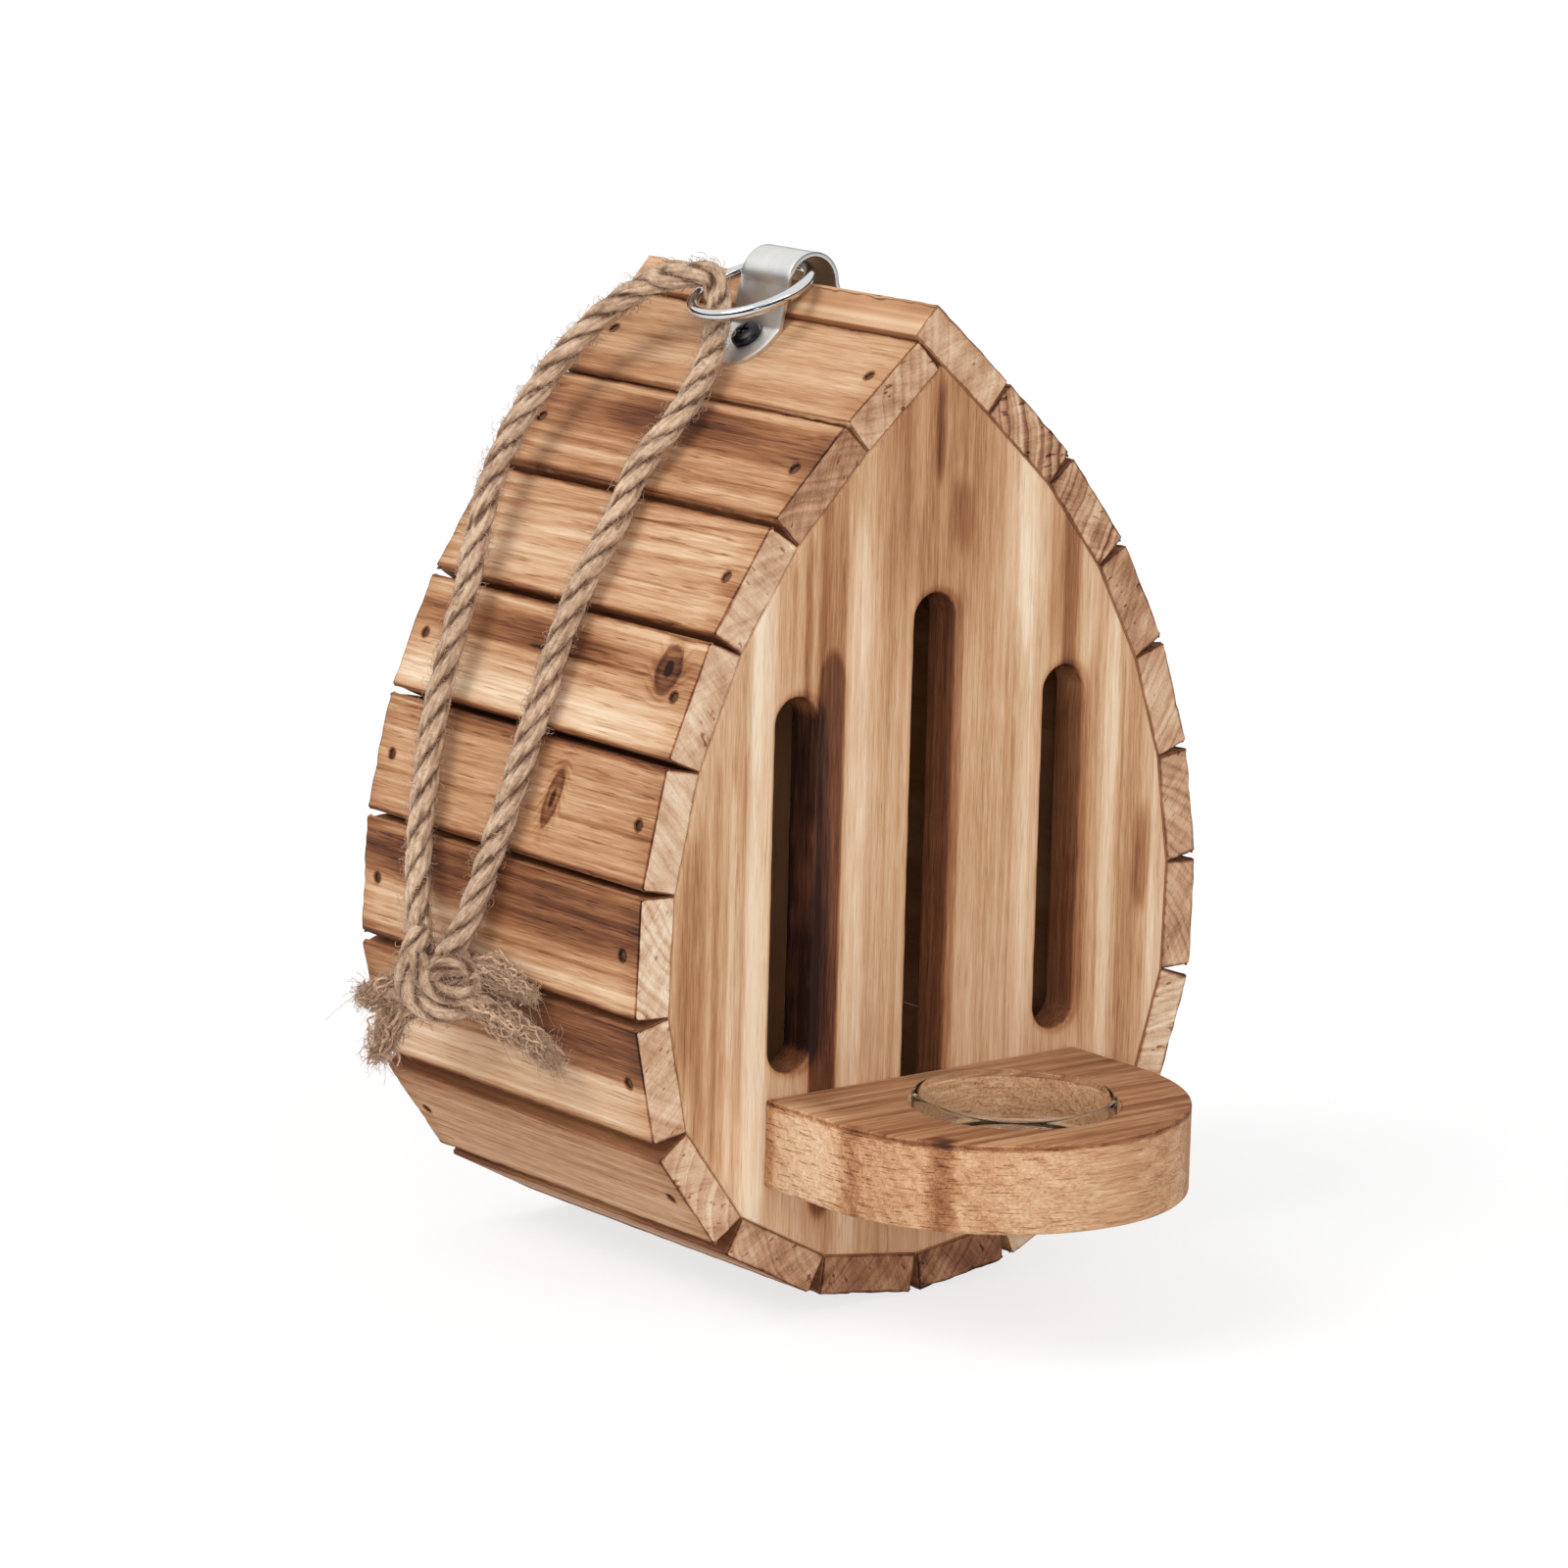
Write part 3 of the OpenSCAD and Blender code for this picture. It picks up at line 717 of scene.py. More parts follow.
def buildFirGroup():
    tree, given, out = addGroup("flamedFir", "ShaderNodeTree", {
        "Board": (0, 0, 0), "Shift": (0, 0, 0), "Middle": 0.0139, "Half Width": 0.0136, "Half Length": 0.0535,
        "Thickness": 0.0094, "Heat": 0.3, "Late Heat": 0.16, "Ring Gap": 0.0022, "Pith": (-0.05, 0.02, -0.03),
        "Blotch": 0.3, "Ticks": 0.46, "Checks": 0.16, "Veins": 0.44, "Strands": 0.28, "Edge Heat": 0.3,
        "Wall Heat": 0.64, "Inside Shade": 0.52, "End Heat": 0.2, "End Rings": 0.2, "Saw Turn": 0.3,
        "Burn": 0.0, "Bend": 0.0,
    }, {"Color": "Color", "Roughness": "Float", "Height": "Float"})
    spot, pith = split(given["Board"]), split(given["Pith"])
    shifted = vectorCalc("ADD", given["Board"], given["Shift"])

    def grown(run, scale, detail=2.0, roughness=0.5):  # a noise drawn out along the grain
        return speckle(stretch(shifted, 1, run, 1), scale, detail, roughness)

    # growth rings round the pith, which drifts along the board
    wobble = grown(0.10, 60.0) * 0.0044 - 0.0022
    fine = grown(0.16, 330.0) * 0.0010 - 0.0005
    drift = spot["Y"] * pith["Y"]
    du = spot["X"] + drift - pith["X"]
    dw = spot["Z"] - drift - pith["Z"]
    radius = calc("SQRT", du * du + dw * dw) + wobble + (fine + given["Bend"])
    rings = radius / given["Ring Gap"]
    phase = calc("FRACT", rings)
    ringTone = addNode("ShaderNodeTexWhiteNoise", {"W": calc("FLOOR", rings)}, noise_dimensions="1D")
    late = ease(phase, 0.35, 0.88) * fade(phase, 0.90, 1.0) * (ringTone * 1.1 + 0.3)
    bands = addNode("ShaderNodeTexNoise", {"W": radius, "Scale": 420.0, "Detail": 2.0}, noise_dimensions="1D")
    # ticks, veins, strands, checks and blotches that run with the grain
    tick = grown(0.035, 2900.0, 3.0, 0.65)
    vein = grown(0.018, 1050.0, 3.0, 0.6)
    strand = grown(0.010, 300.0)
    blotch = grown(0.10, 90.0, 3.0)
    cloud = grown(0.5, 30.0)
    check = ease(grown(0.045, 1450.0, 2.0, 0.6), 0.62, 0.70)
    grain = late * given["Late Heat"]
    for part, share in ((tick, "Ticks"), (vein, "Veins"), (strand, "Strands"), (bands, "Late Heat")):
        grain = (part - 0.5) * given[share] + grain
    grain = check * given["Checks"] + grain
    spread = blotch + cloud - 1.0
    heat = spread * given["Blotch"] + given["Heat"]
    faceHeat = heat + given["Burn"] + grain
    # burnt long edges and their walls, and painted shade on the inner face, which faces into the shadowed box
    edge = given["Half Width"] - abs(spot["X"] - given["Middle"])
    edgeLine = fade(edge, 0.0002, calc("MAXIMUM", cloud * 0.0050 - 0.0008, 0.0008))
    toEnd = given["Half Length"] - abs(spot["Y"])
    endLine = fade(toEnd, 0.0003, 0.0010)
    endStain = ease(toEnd, 0.0, 0.009, 0.08, 0.0)
    faceHeat = edgeLine * given["Edge Heat"] + faceHeat + (endLine * 0.32 + endStain)
    wallHeat = given["Wall Heat"] + spread * 0.6 + (strand * 0.6 - 0.3)
    faceHeat = blend(fade(edge, 0.00006, 0.0003), faceHeat, wallHeat)
    # painted shade: the inner face takes a dark heat
    faceHeat = blend(fade(spot["Z"], 0.0001, 0.0004), faceHeat, spread * 0.3 + given["Inside Shade"])
    # the nail pits: painted shade darkens their hollow
    deep = given["Thickness"] - spot["Z"]
    pit = ease(deep, 0.0002, 0.0005) * fade(deep, 0.0015, 0.002)
    pit = pit * (ease(edge, 0.0025, 0.003) * ease(toEnd, 0.002, 0.003))
    faceHeat = pit * 0.5 + faceHeat
    # sawn ends: paler, with saw lines and the rings as arcs
    onEnd = fade(toEnd, 0.00002, 0.0003)
    sawn = addNode("ShaderNodeVectorRotate", {"Vector": shifted, "Angle": given["Saw Turn"]},
                   rotation_type="Y_AXIS")
    saw = speckle(stretch(sawn, 1, 1, 0.06), 2300.0, 2.0, 0.6)
    sweep = speckle(stretch(sawn, 1, 1, 0.25), 420.0)
    pores = speckle(shifted, 1500.0, 3.0, 0.7)
    chips = ease(speckle(stretch(sawn, 1, 1, 0.4), 640.0), 0.66, 0.72, 0.0, 0.3)
    endHeat = (late + bands * 3.0) * given["End Rings"] + (given["End Rings"] * -1.8 + given["End Heat"])
    for part, share in ((saw, 0.26), (sweep, 0.34), (pores, 0.26), (speckle(shifted, 110.0), 0.5)):
        endHeat = (part - 0.5) * share + endHeat
    rim = calc("MINIMUM", calc("MINIMUM", edge, deep + 0.0002), spot["Z"] + 0.0002)
    rim = rim + (blotch * -0.0022 + 0.0011)
    endHeat = endHeat + chips + ease(rim, 0.0, 0.0009, 0.36, 0.0)
    ramp = addNode("ShaderNodeValToRGB", {"Fac": blend(onEnd, faceHeat, endHeat)})
    stops = ramp.node.color_ramp.elements
    while len(stops) < len(charTones):
        stops.new(0.5)
    for stop, (at, code) in zip(stops, charTones):
        stop.position = at
        stop.color = tone(code)
    greyed = addNode("ShaderNodeHueSaturation", {"Color": ramp, "Saturation": onEnd * -0.08 + 1.0})
    rough = calc("MULTIPLY_ADD", tick, 0.2, 0.52, clamp=True)
    height = late * 0.3 + tick * 0.5 + (vein * 0.6 + check * -0.5) + saw * onEnd
    fill(out, {"Color": greyed, "Roughness": rough, "Height": height})
    return tree


def buildMarkGroup():  # a soft oval mark, for streaks, knots and slot rims
    tree, given, out = addGroup("heatMark", "ShaderNodeTree", {
        "Board": (0, 0, 0), "Across": 0.0, "Along": 0.0, "Half Run": 0.0, "Inner": 0.0, "Outer": 0.003,
        "Stretch": 1.0, "Tilt": 0.0, "Ragged": 0.001,
    }, {"Mask": "Float"})
    spot = split(given["Board"])
    du = spot["X"] - given["Across"]
    dv = du * given["Tilt"] + (spot["Y"] - given["Along"])
    dv = calc("MAXIMUM", abs(dv) - given["Half Run"], 0.0) / given["Stretch"]
    torn = speckle(stretch(given["Board"], 1.0, 0.2, 1.0), 170.0, 3.0)
    away = (torn - 0.5) * (given["Ragged"] * 2.0) + calc("SQRT", du * du + dv * dv)
    fill(out, {"Mask": fade(away, given["Inner"], given["Outer"])})
    return tree


firGroup = buildFirGroup()
markGroup = buildMarkGroup()


def newMaterial(name):
    material = bpy.data.materials.new(name)
    material.use_nodes = True
    bench["tree"] = material.node_tree
    return material, material.node_tree.nodes["Principled BSDF"]


def dress(shader, colour, height, relief, values):
    bump = addNode("ShaderNodeBump", {"Height": height, "Distance": relief, "Strength": 1.0})
    fill(shader, dict(values, **{"Base Color": colour, "Normal": bump}))


def addMarks(board, marks, key="Gain"):  # the heat of every mark, added up
    total = 0.0
    for mark in marks:
        values = {name: value for name, value in mark.items() if name not in ("Gain", "Bend")}
        mask = addNode("ShaderNodeGroup", dict(values, Board=board), node_tree=markGroup)
        total = mask * mark.get(key, 0.0) + total
    return total


def dressFir(shader, wood, height=None):
    made = addNode("ShaderNodeGroup", wood, node_tree=firGroup)
    height = height(made["Height"]) if height else made["Height"]
    dress(shader, made["Color"], height, 0.00016,
          {"Roughness": made["Roughness"], "Specular IOR Level": 0.12})


def boardPlace():
    return addNode("ShaderNodeAttribute", attribute_name="board")["Vector"]


def firMaterial(name, wood, marks=(), seams=()):
    material, shader = newMaterial(name)
    board = boardPlace()
    burn = addMarks(board, marks)
    bend = addMarks(board, [mark for mark in marks if "Bend" in mark], "Bend")
    shift = wood["Shift"]
    if seams:  # each glued board beyond a seam has its own grain and tone
        fromMiddle, moved = split(board)["X"], 0.0
        for at, heat in seams:
            beyond = calc("GREATER_THAN", fromMiddle, at * mm)
            moved = beyond + moved
            burn = beyond * heat + burn
        shift = vectorCalc("ADD", combine(moved, moved, moved), shift)
    dressFir(shader, dict(wood, Board=board, Burn=burn, Bend=bend, Shift=shift))
    return material


def streak(across, width, gain, along=0.0, run=200.0, ragged=1.2, fade=6.0, tilt=0.0, flat=0.2):
    return {"Across": across * mm, "Along": along * mm, "Half Run": run * mm, "Inner": width * flat * mm,
            "Outer": width * mm, "Ragged": ragged * mm, "Stretch": fade, "Tilt": tilt, "Gain": gain}


def knot(across, along, wide, slim, tilt=0.0):  # halo, dark outline, greyish disc and core
    return [dict(streak(across, wide * reach, gain, along, 0.0, ragged, slim, tilt, flat), Bend=bend)
            for reach, flat, gain, ragged, bend in (
                (1.8, 0.3, 0.12, 1.4, 0.003), (1.05, 0.78, 0.26, 0.8, 0.002), (0.82, 0.6, -0.10, 0.7, 0.0),
                (0.38, 0.5, 0.34, 0.5, 0.0))]


slatLooks = {  # by side and number; marks in millimetres down the slat and from its middle to the front
    (True, 1): {
        "Heat": 0.32, "Late Heat": 0.04, "Ticks": 0.45, "Veins": 0.24, "Checks": 0.08, "Strands": 0.12,
        "Blotch": 0.2, "End Heat": 0.34,
        "marks": [streak(23.5, 4.5, 0.13), streak(18, 1.2, -0.08, 25, 20), streak(12, 9, 0.10, -50, 6)]},
    (True, 2): {
        "Heat": 0.43, "Late Heat": 0.08, "Blotch": 0.3, "End Heat": 0.44,
        "marks": [streak(8.5, 6.5, 0.17, 27, 24, 1.0, flat=0.6), streak(8, 7, 0.10, -26, 20, flat=0.4),
                  streak(21, 2.4, -0.22, -22, 14), streak(24, 3, -0.14, 27, 20), streak(17, 1.2, -0.08, 25, 20),
                  streak(1.5, 2, -0.14)]},
    (True, 3): {
        "Heat": 0.24, "Late Heat": 0.16, "Ring Gap": 0.0026, "Veins": 0.42, "End Heat": 0.27,
        "marks": [streak(3, 4, 0.08, 20, 30), streak(5, 0.5, 0.16, 25, 16, 0.3), streak(9, 0.5, 0.14, 30, 12, 0.3),
                  streak(19.5, 0.5, 0.16, 28, 16, 0.3), streak(22.5, 0.6, 0.14, 20, 20, 0.3),
                  streak(14, 16, 0.09, 55, 3, 2, 0.6), streak(14, 14, 0.06, -50, 30)]},
    (True, 4): {
        "Heat": 0.31, "Late Heat": 0.10, "End Heat": 0.24,
        "marks": [streak(8, 5.5, 0.22, -20, 14, flat=0.4), streak(8, 5, 0.12, 15, 16),
                  streak(10.6, 0.6, 0.22, 14, 20, 0.4), streak(21.5, 7, -0.14, flat=0.4),
                  streak(1.5, 1.2, -0.10), *knot(8.0, 42.6, 6.4, 0.7)]},
    (True, 5): {
        "Heat": 0.37, "Late Heat": 0.10, "End Heat": 0.20,
        "marks": [streak(2.5, 3, 0.16, -20, 20), streak(6, 0.8, 0.14, -42, 8, 0.4), streak(13, 5, -0.06, 35, 10),
                  *knot(13.4, 15.3, 7.6, 0.36, 0.25)]},
    (True, 6): {
        "Heat": 0.43, "Late Heat": 0.10, "Blotch": 0.3, "Veins": 0.4, "End Heat": 0.17,
        "marks": [streak(8, 9, 0.20, 17, 30, flat=0.5), streak(5, 5, 0.08, 10, 60), streak(23.5, 5, -0.20, 25, 20),
                  streak(19, 9, -0.22, -52, 8), streak(4, 4, 0.06, -50, 4)]},
    (True, 7): {
        "Heat": 0.43, "Late Heat": 0.08, "Blotch": 0.3, "Veins": 0.4, "End Heat": 0.24,
        "marks": [streak(6, 8.5, 0.22, 24, 18, flat=0.4), streak(20.5, 7, -0.26, flat=0.6)]},
    (True, 8): {
        "Heat": 0.31, "Late Heat": 0.08, "Veins": 0.42, "Strands": 0.34, "Blotch": 0.2, "End Heat": 0.28,
        "marks": [streak(3, 3, 0.12), streak(27, 2, 0.10)]},
    (True, 9): {"Heat": 0.42, "Late Heat": 0.10, "End Heat": 0.40},
    (True, 10): {"Heat": 0.45, "Late Heat": 0.10, "End Heat": 0.52},
    (False, 1): {
        "Heat": 0.32, "Late Heat": 0.05, "Wall Heat": 0.34, "Edge Heat": 0.12, "End Heat": 0.32,
        "marks": [streak(-9, 3.0, 0.08)]},
    (False, 2): {"Heat": 0.40, "End Heat": 0.46, "End Rings": 0.24},
    (False, 3): {"Heat": 0.34, "End Heat": 0.44, "End Rings": 0.18},
    (False, 4): {"Heat": 0.30, "End Heat": 0.46},
    (False, 5): {"Heat": 0.38, "End Heat": 0.34},
    (False, 6): {"Heat": 0.28, "End Heat": 0.38},
    (False, 7): {"Heat": 0.36, "End Heat": 0.38},
    (False, 11): {"Heat": 0.46, "End Heat": 0.62},
}
slatWear = {"Wear": 0.00030, "Round": 0.0008, "End Ease": 0.0004, "Steps": 66,
            "Pit Radius": 0.0014, "Pit Depth": 0.0006}
bladeGap = 0.005  # the boards all but touch at their inner edges
pitFromEnd = 6.0
slatTree = buildSlatTree()
slatLength = teardrop["back"] - teardrop["front"]
chance = random.Random(42)
slatPieces = []


def looseMarks():  # for a slat that the photo doesn't show
    return [streak(chance.uniform(3, 24), chance.uniform(4, 8), chance.choice((-0.16, 0.18, 0.24)),
                   chance.uniform(-30, 30), chance.uniform(10, 40)) for _ in range(3)]


def pitMarks(across):  # a soft and a dark ring round each pit
    return [streak(across, reach, gain, end * (slatLength / 2 - pitFromEnd), 0, 0.25, 1.0, flat=flat)
            for end in (-1, 1) for reach, gain, flat in ((2.6, 0.10, 0.2), (1.7, 0.24, 0.85))]


for left in (True, False):
    side = "left" if left else "right"
    for number in range(1, len(slopes[left]) + 1):
        start, stop = joints[left][number - 1 : number + 1]
        width = (stop - start).length
        low, high = bladeGap, width - bladeGap
        if number == 1 and left:
            low += teardrop["slatThick"] * math.tan(math.radians(90 - 2 * teardrop["roofSlope"]))
        elif number == 1:
            low = -teardrop["ridgeLap"]
        plainHeat = {"Heat": chance.uniform(0.25, 0.42), "Late Heat": chance.uniform(0.08, 0.2)}
        look = dict(slatLooks.get((left, number), plainHeat))
        marks = look.pop("marks", looseMarks()) + pitMarks(width / 2)
        wood = {"Shift": Vector([chance.uniform(1, 9) for _ in range(3)]),
                "Middle": (low + high) / 2 * mm, "Half Width": (high - low) / 2 * mm,
                "Half Length": slatLength / 2 * mm, "Ring Gap": chance.uniform(0.0017, 0.0027),
                "Pith": (chance.choice((-1, 1)) * chance.uniform(0.035, 0.07), chance.uniform(-0.03, 0.03),
                         chance.uniform(-0.06, -0.02)),
                "End Heat": chance.uniform(0.14, 0.30), "End Rings": chance.uniform(0.05, 0.14),
                "Saw Turn": chance.uniform(-1.2, 1.2)}
        shape = {"Low": low * mm, "High": high * mm, "Thickness": teardrop["slatThick"] * mm,
                 "Length": slatLength * mm, "Seed": chance.uniform(1, 9), "Pit Across": width / 2 * mm,
                 "Pit Along": (slatLength / 2 - pitFromEnd) * mm,
                 "Place": Vector(((-1 if left else 1) * start.x, middleY, peakZ + start.y)) * mm,
                 "Turn": (0, math.radians(slopes[left][number - 1]), math.pi if left else 0),
                 "Finish": firMaterial(f"fir_{side}_{number}", dict(wood, **look), marks)}
        name = f"slat_{side}_{number}_board"
        piece = applyTree(addPiece(name, bpy.data.meshes.new(name)), slatTree, dict(slatWear, **shape))
        slatPieces.append(register(piece, "housing", "slat_wood", f"slat_{side}_{number}"))
slatFaces = [len(piece.data.polygons) for piece in slatPieces]
print("slats", len(slatPieces), sum(slatFaces), "faces, fewest", min(slatFaces))


# Panels: the teardrop with a corner at every slat joint, cut by the entrance slots
slots = [  # middle, foot and top of each slot
    {"x": -39.5, "foot": 57.7, "top": 144.1},
    {"x": 0.0, "foot": 46.0, "top": 164.4},
    {"x": 39.5, "foot": 57.7, "top": 144.1},
]
panelLook = {"slotWidth": 12.0, "rimRound": 0.9, "outerRound": 0.5, "ragged": 0.18, "grainMiddle": 110.0}


def flatBoard(name, contours, thick, rounding):
    curve = bpy.data.curves.new(name, "CURVE")
    curve.dimensions = "2D"
    curve.fill_mode = "BOTH"
    curve.extrude = (thick / 2 - rounding) * mm
    curve.bevel_depth = rounding * mm
    curve.bevel_resolution = 2
    curve.offset = -rounding * mm
    for contour in contours:
        spline = curve.splines.new("POLY")
        spline.points.add(len(contour) - 1)
        for point, (x, y) in zip(spline.points, contour):
            point.co = (x * mm, y * mm, 0, 1)
        spline.use_cyclic_u = True
    shape = bpy.data.objects.new(name, curve)
    scene.collection.objects.link(shape)
    board = settle(shape)
    cleaned = bmesh.new()
    cleaned.from_mesh(board.data)
    bmesh.ops.remove_doubles(cleaned, verts=cleaned.verts, dist=1e-6)
    writeMesh(cleaned, board.data)
    return board


def storeBoard(mesh, read):
    board = mesh.attributes.new("board", "FLOAT_VECTOR", "POINT")
    for vert, item in zip(mesh.vertices, board.data):
        item.vector = read(vert.co)


def panelContour():
    right = [(p.x, peakZ + p.y) for p in joints[False]]
    left = [(-p.x, peakZ + p.y) for p in joints[True]][-2:0:-1]
    return (right + left)[::-1]


def slotContour(slot, width, ragged):
    radius = width / 2
    points = []
    for k in range(48):
        angle = 2 * math.pi * k / 48
        end = slot["top"] - radius if math.sin(angle) >= 0 else slot["foot"] + radius
        points.append((slot["x"] + radius * math.cos(angle), end + radius * math.sin(angle)))
    straight = []
    for a, b in zip(points, points[1:] + points[:1]):
        parts = max(1, int(abs(b[1] - a[1]) / 3))
        straight += [(a[0] + (b[0] - a[0]) * k / parts, a[1] + (b[1] - a[1]) * k / parts) for k in range(parts)]
    return [(x + ragged * noise.noise(Vector((x * 0.4, z * 0.35, 2.0))),
             z + ragged * noise.noise(Vector((x * 0.4, z * 0.35, 8.0)))) for x, z in straight]


def standBoard(board, middle, outwards):  # from flat to upright, its middle at this depth
    board.data.transform(Matrix.Translation((0, middle * mm, 0)) @ Matrix.Rotation(math.pi / 2, 4, "X"))
    inner = (middle - outwards * teardrop["panelThick"] / 2) * mm
    storeBoard(board.data, lambda co: (co.x, co.z - panelLook["grainMiddle"] * mm, outwards * (co.y - inner)))


panelWood = {
    "Shift": (3.1, 1.7, 5.2), "Middle": 0.0, "Half Width": 0.3, "Half Length": 0.3, "Thickness": 0.4,
    "Heat": 0.27, "Late Heat": 0.05, "Ring Gap": 0.0035, "Pith": (-0.09, 0.02, -0.05), "Blotch": 0.26,
    # painted shade on the inner face
    "Strands": 0.14, "Veins": 0.22, "Ticks": 0.46, "Checks": 0.05, "Inside Shade": 0.50,
}


def rimScorchAndShade(slot):  # scorched rim of a slot with painted shade, more of it on the right where the rounded rim falls into shade
    middle, run = (slot["foot"] + slot["top"]) / 2, (slot["top"] - slot["foot"]) / 2 - panelLook["slotWidth"] / 2
    along = middle - panelLook["grainMiddle"]
    return [dict(streak(slot["x"] + off, reach, gain, along, run, ragged, 1.0), Inner=inner * mm)
            for off, inner, reach, gain, ragged in (
                (0, 5.9, 6.6, 0.16, 0.2), (0.6, 6.2, 8.4, 0.17, 0.7), (2.0, 6.0, 10.5, 0.06, 1.2))]


# each streak's place across, width, heat, height from the grain's middle and half run, in millimetres
frontMarks = [mark for slot in slots for mark in rimScorchAndShade(slot)] + [
    # left board
    streak(-29.8, 4.6, 0.27, -22, 56, 0.5, 2.5, flat=0.7), streak(-29.8, 4.3, 0.14, 12, 80, 0.5, flat=0.7),
    streak(-31, 3.0, 0.06, -10, 26, 0.6), streak(-52, 9, -0.09, -54, 18, 2.0), streak(72, 6, -0.12, -45, 14, 2.0),
    streak(27, 8, -0.12, 80, 8, 2.0), streak(30, 5, -0.07, 10, 40, 2.0), streak(-31, 8, 0.10, -62, 20, 1.0),
    streak(-37, 1.6, 0.20, 52, 14, 0.6), streak(-33, 1.8, 0.10, 60, 14, 0.6), streak(-41, 1.2, 0.10, 50, 10, 0.5),
    streak(-49, 4.5, -0.16, -8, 60, flat=0.5), streak(-57, 1.4, -0.12, -30, 40, 0.5),
    streak(-61.5, 1.6, 0.12, -25, 40, 0.6), streak(-54, 0.8, 0.10, -20, 40, 0.3),
    streak(-46, 0.7, 0.08, -10, 50, 0.3), streak(-69, 3.5, 0.20, -22, 14, 1.0), streak(-66, 2.5, 0.10, -30, 30),
    streak(-51, 4, -0.08, 45, 12),
    # middle board
    streak(-22, 3.5, -0.12, -15, 70, flat=0.5), streak(-14.5, 2.5, 0.06, 0, 60), streak(-10, 2, 0.05, -20, 40),
    streak(12, 4, -0.05, -20, 50), streak(17.5, 0.8, 0.07, -10, 60, 0.4), streak(22, 1.0, 0.06, 0, 50, 0.4),
    streak(28.5, 2.2, -0.08, -10, 50), streak(24.5, 1.0, 0.08, -20, 40, 0.4),
    # right board
    streak(48.5, 2.5, 0.10, -10, 40), streak(54.5, 2.8, -0.16, -12, 50, flat=0.4),
    streak(62, 3.8, 0.10, -20, 50, flat=0.4), streak(65.5, 3.5, 0.20, -14, 6, 1.6, 3.0),
    streak(69.5, 1.5, -0.10, -10, 30), streak(58.5, 0.7, 0.10, -10, 40, 0.3),
    streak(40.5, 4.0, 0.28, 50, 16, 0.8), streak(46, 2.0, -0.08, 45, 12),
    # burn below the peak
    streak(2, 24, 0.17, 84, 12, 4.0, 1.6), streak(0, 2.2, 0.26, 92, 6, 0.8, 4.0), streak(7, 6.5, 0.12, 72, 2, 3.0, 1.4),
    streak(-5, 2.0, -0.10, 88, 8, 0.8), streak(-12, 7, 0.08, 68, 10, 2.0), streak(27, 3, -0.10, 66, 14, 1.5, tilt=0.5),
    streak(36, 2.0, 0.08, 60, 12, 0.8, tilt=0.3),
]
slotCuts = [slotContour(slot, panelLook["slotWidth"], panelLook["ragged"]) for slot in slots]
frontPanel = flatBoard("front_board", [panelContour()] + slotCuts, teardrop["panelThick"], panelLook["rimRound"])
standBoard(frontPanel, teardrop["front"] + teardrop["panelThick"] / 2, -1)
backPanel = flatBoard("back_board", [panelContour()], teardrop["panelThick"], panelLook["outerRound"])
standBoard(backPanel, teardrop["back"] - teardrop["panelThick"] / 2, 1)
frontPanel.data.materials.append(firMaterial("fir_front", panelWood, frontMarks, [(-26.0, 0.0), (33.4, 0.03)]))
backPanel.data.materials.append(firMaterial(
    "fir_back", dict(panelWood, Shift=(7.7, 2.2, 1.9), Heat=0.34),
    [streak(-40, 8, 0.2, 10, 60), streak(20, 6, -0.12, -20, 60)], [(-14.0, 0.08), (31.0, -0.12)]))
register(frontPanel, "housing", "panel_wood", "front_panel")
register(backPanel, "housing", "panel_wood", "back_panel")
print("panels", [round(v, 5) for v in frontPanel.dimensions], [round(v, 5) for v in backPanel.dimensions])


# Shelf: a thick board with a half round front and a blind recess
shelfLook = {"width": 92.0, "out": 70.0, "thick": 20.5, "top": 52.5, "dishReach": 32.7,
             "recessRadius": 23.9, "recessFloor": 40.5, "edge": 0.7}


def latheRing(profile, steps, middle):  # closed profile of (radius, height), turned about Z
    mesh = bpy.data.meshes.new("turned")
    verts, faces, count = [], [], len(profile)
    for i in range(steps):
        angle = 2 * math.pi * i / steps
        x, y = math.cos(angle), math.sin(angle)
        verts += [Vector((r * x, r * y, z)) * mm + Vector(middle) * mm for r, z in profile]
        for k in range(count):
            a, b = i * count + k, i * count + (k + 1) % count
            c, d = (i + 1) % steps * count + k, (i + 1) % steps * count + (k + 1) % count
            faces.append((a, c, d, b))
    mesh.from_pydata(verts, [], faces)
    cleaned = bmesh.new()
    cleaned.from_mesh(mesh)
    bmesh.ops.remove_doubles(cleaned, verts=cleaned.verts, dist=1e-7)
    bmesh.ops.dissolve_degenerate(cleaned, dist=1e-8, edges=cleaned.edges)
    writeMesh(cleaned, mesh).shade_smooth()
    return mesh


def circlePoints(middle, radius, steps):
    return [(middle[0] + radius * math.cos(2 * math.pi * k / steps),
             middle[1] + radius * math.sin(2 * math.pi * k / steps)) for k in range(steps)]


def shelfContour():
    half, front = shelfLook["width"] / 2, teardrop["front"]
    nose = front - shelfLook["out"] + half
    points = [(half, front), (-half, front), (-half, nose)]
    points += [(-half * math.cos(math.pi * k / 64), nose - half * math.sin(math.pi * k / 64)) for k in range(1, 64)]
    return points + [(half, nose)]


def prism(name, contour, low, high):
    solid = bmesh.new()
    base = solid.faces.new([solid.verts.new(Vector((x, y, low)) * mm) for x, y in contour])
    made = bmesh.ops.extrude_face_region(solid, geom=[base])
    bmesh.ops.translate(solid, verts=[v for v in made["geom"] if isinstance(v, bmesh.types.BMVert)],
                        vec=(0, 0, (high - low) * mm))
    return writeMesh(solid, bpy.data.meshes.new(name))


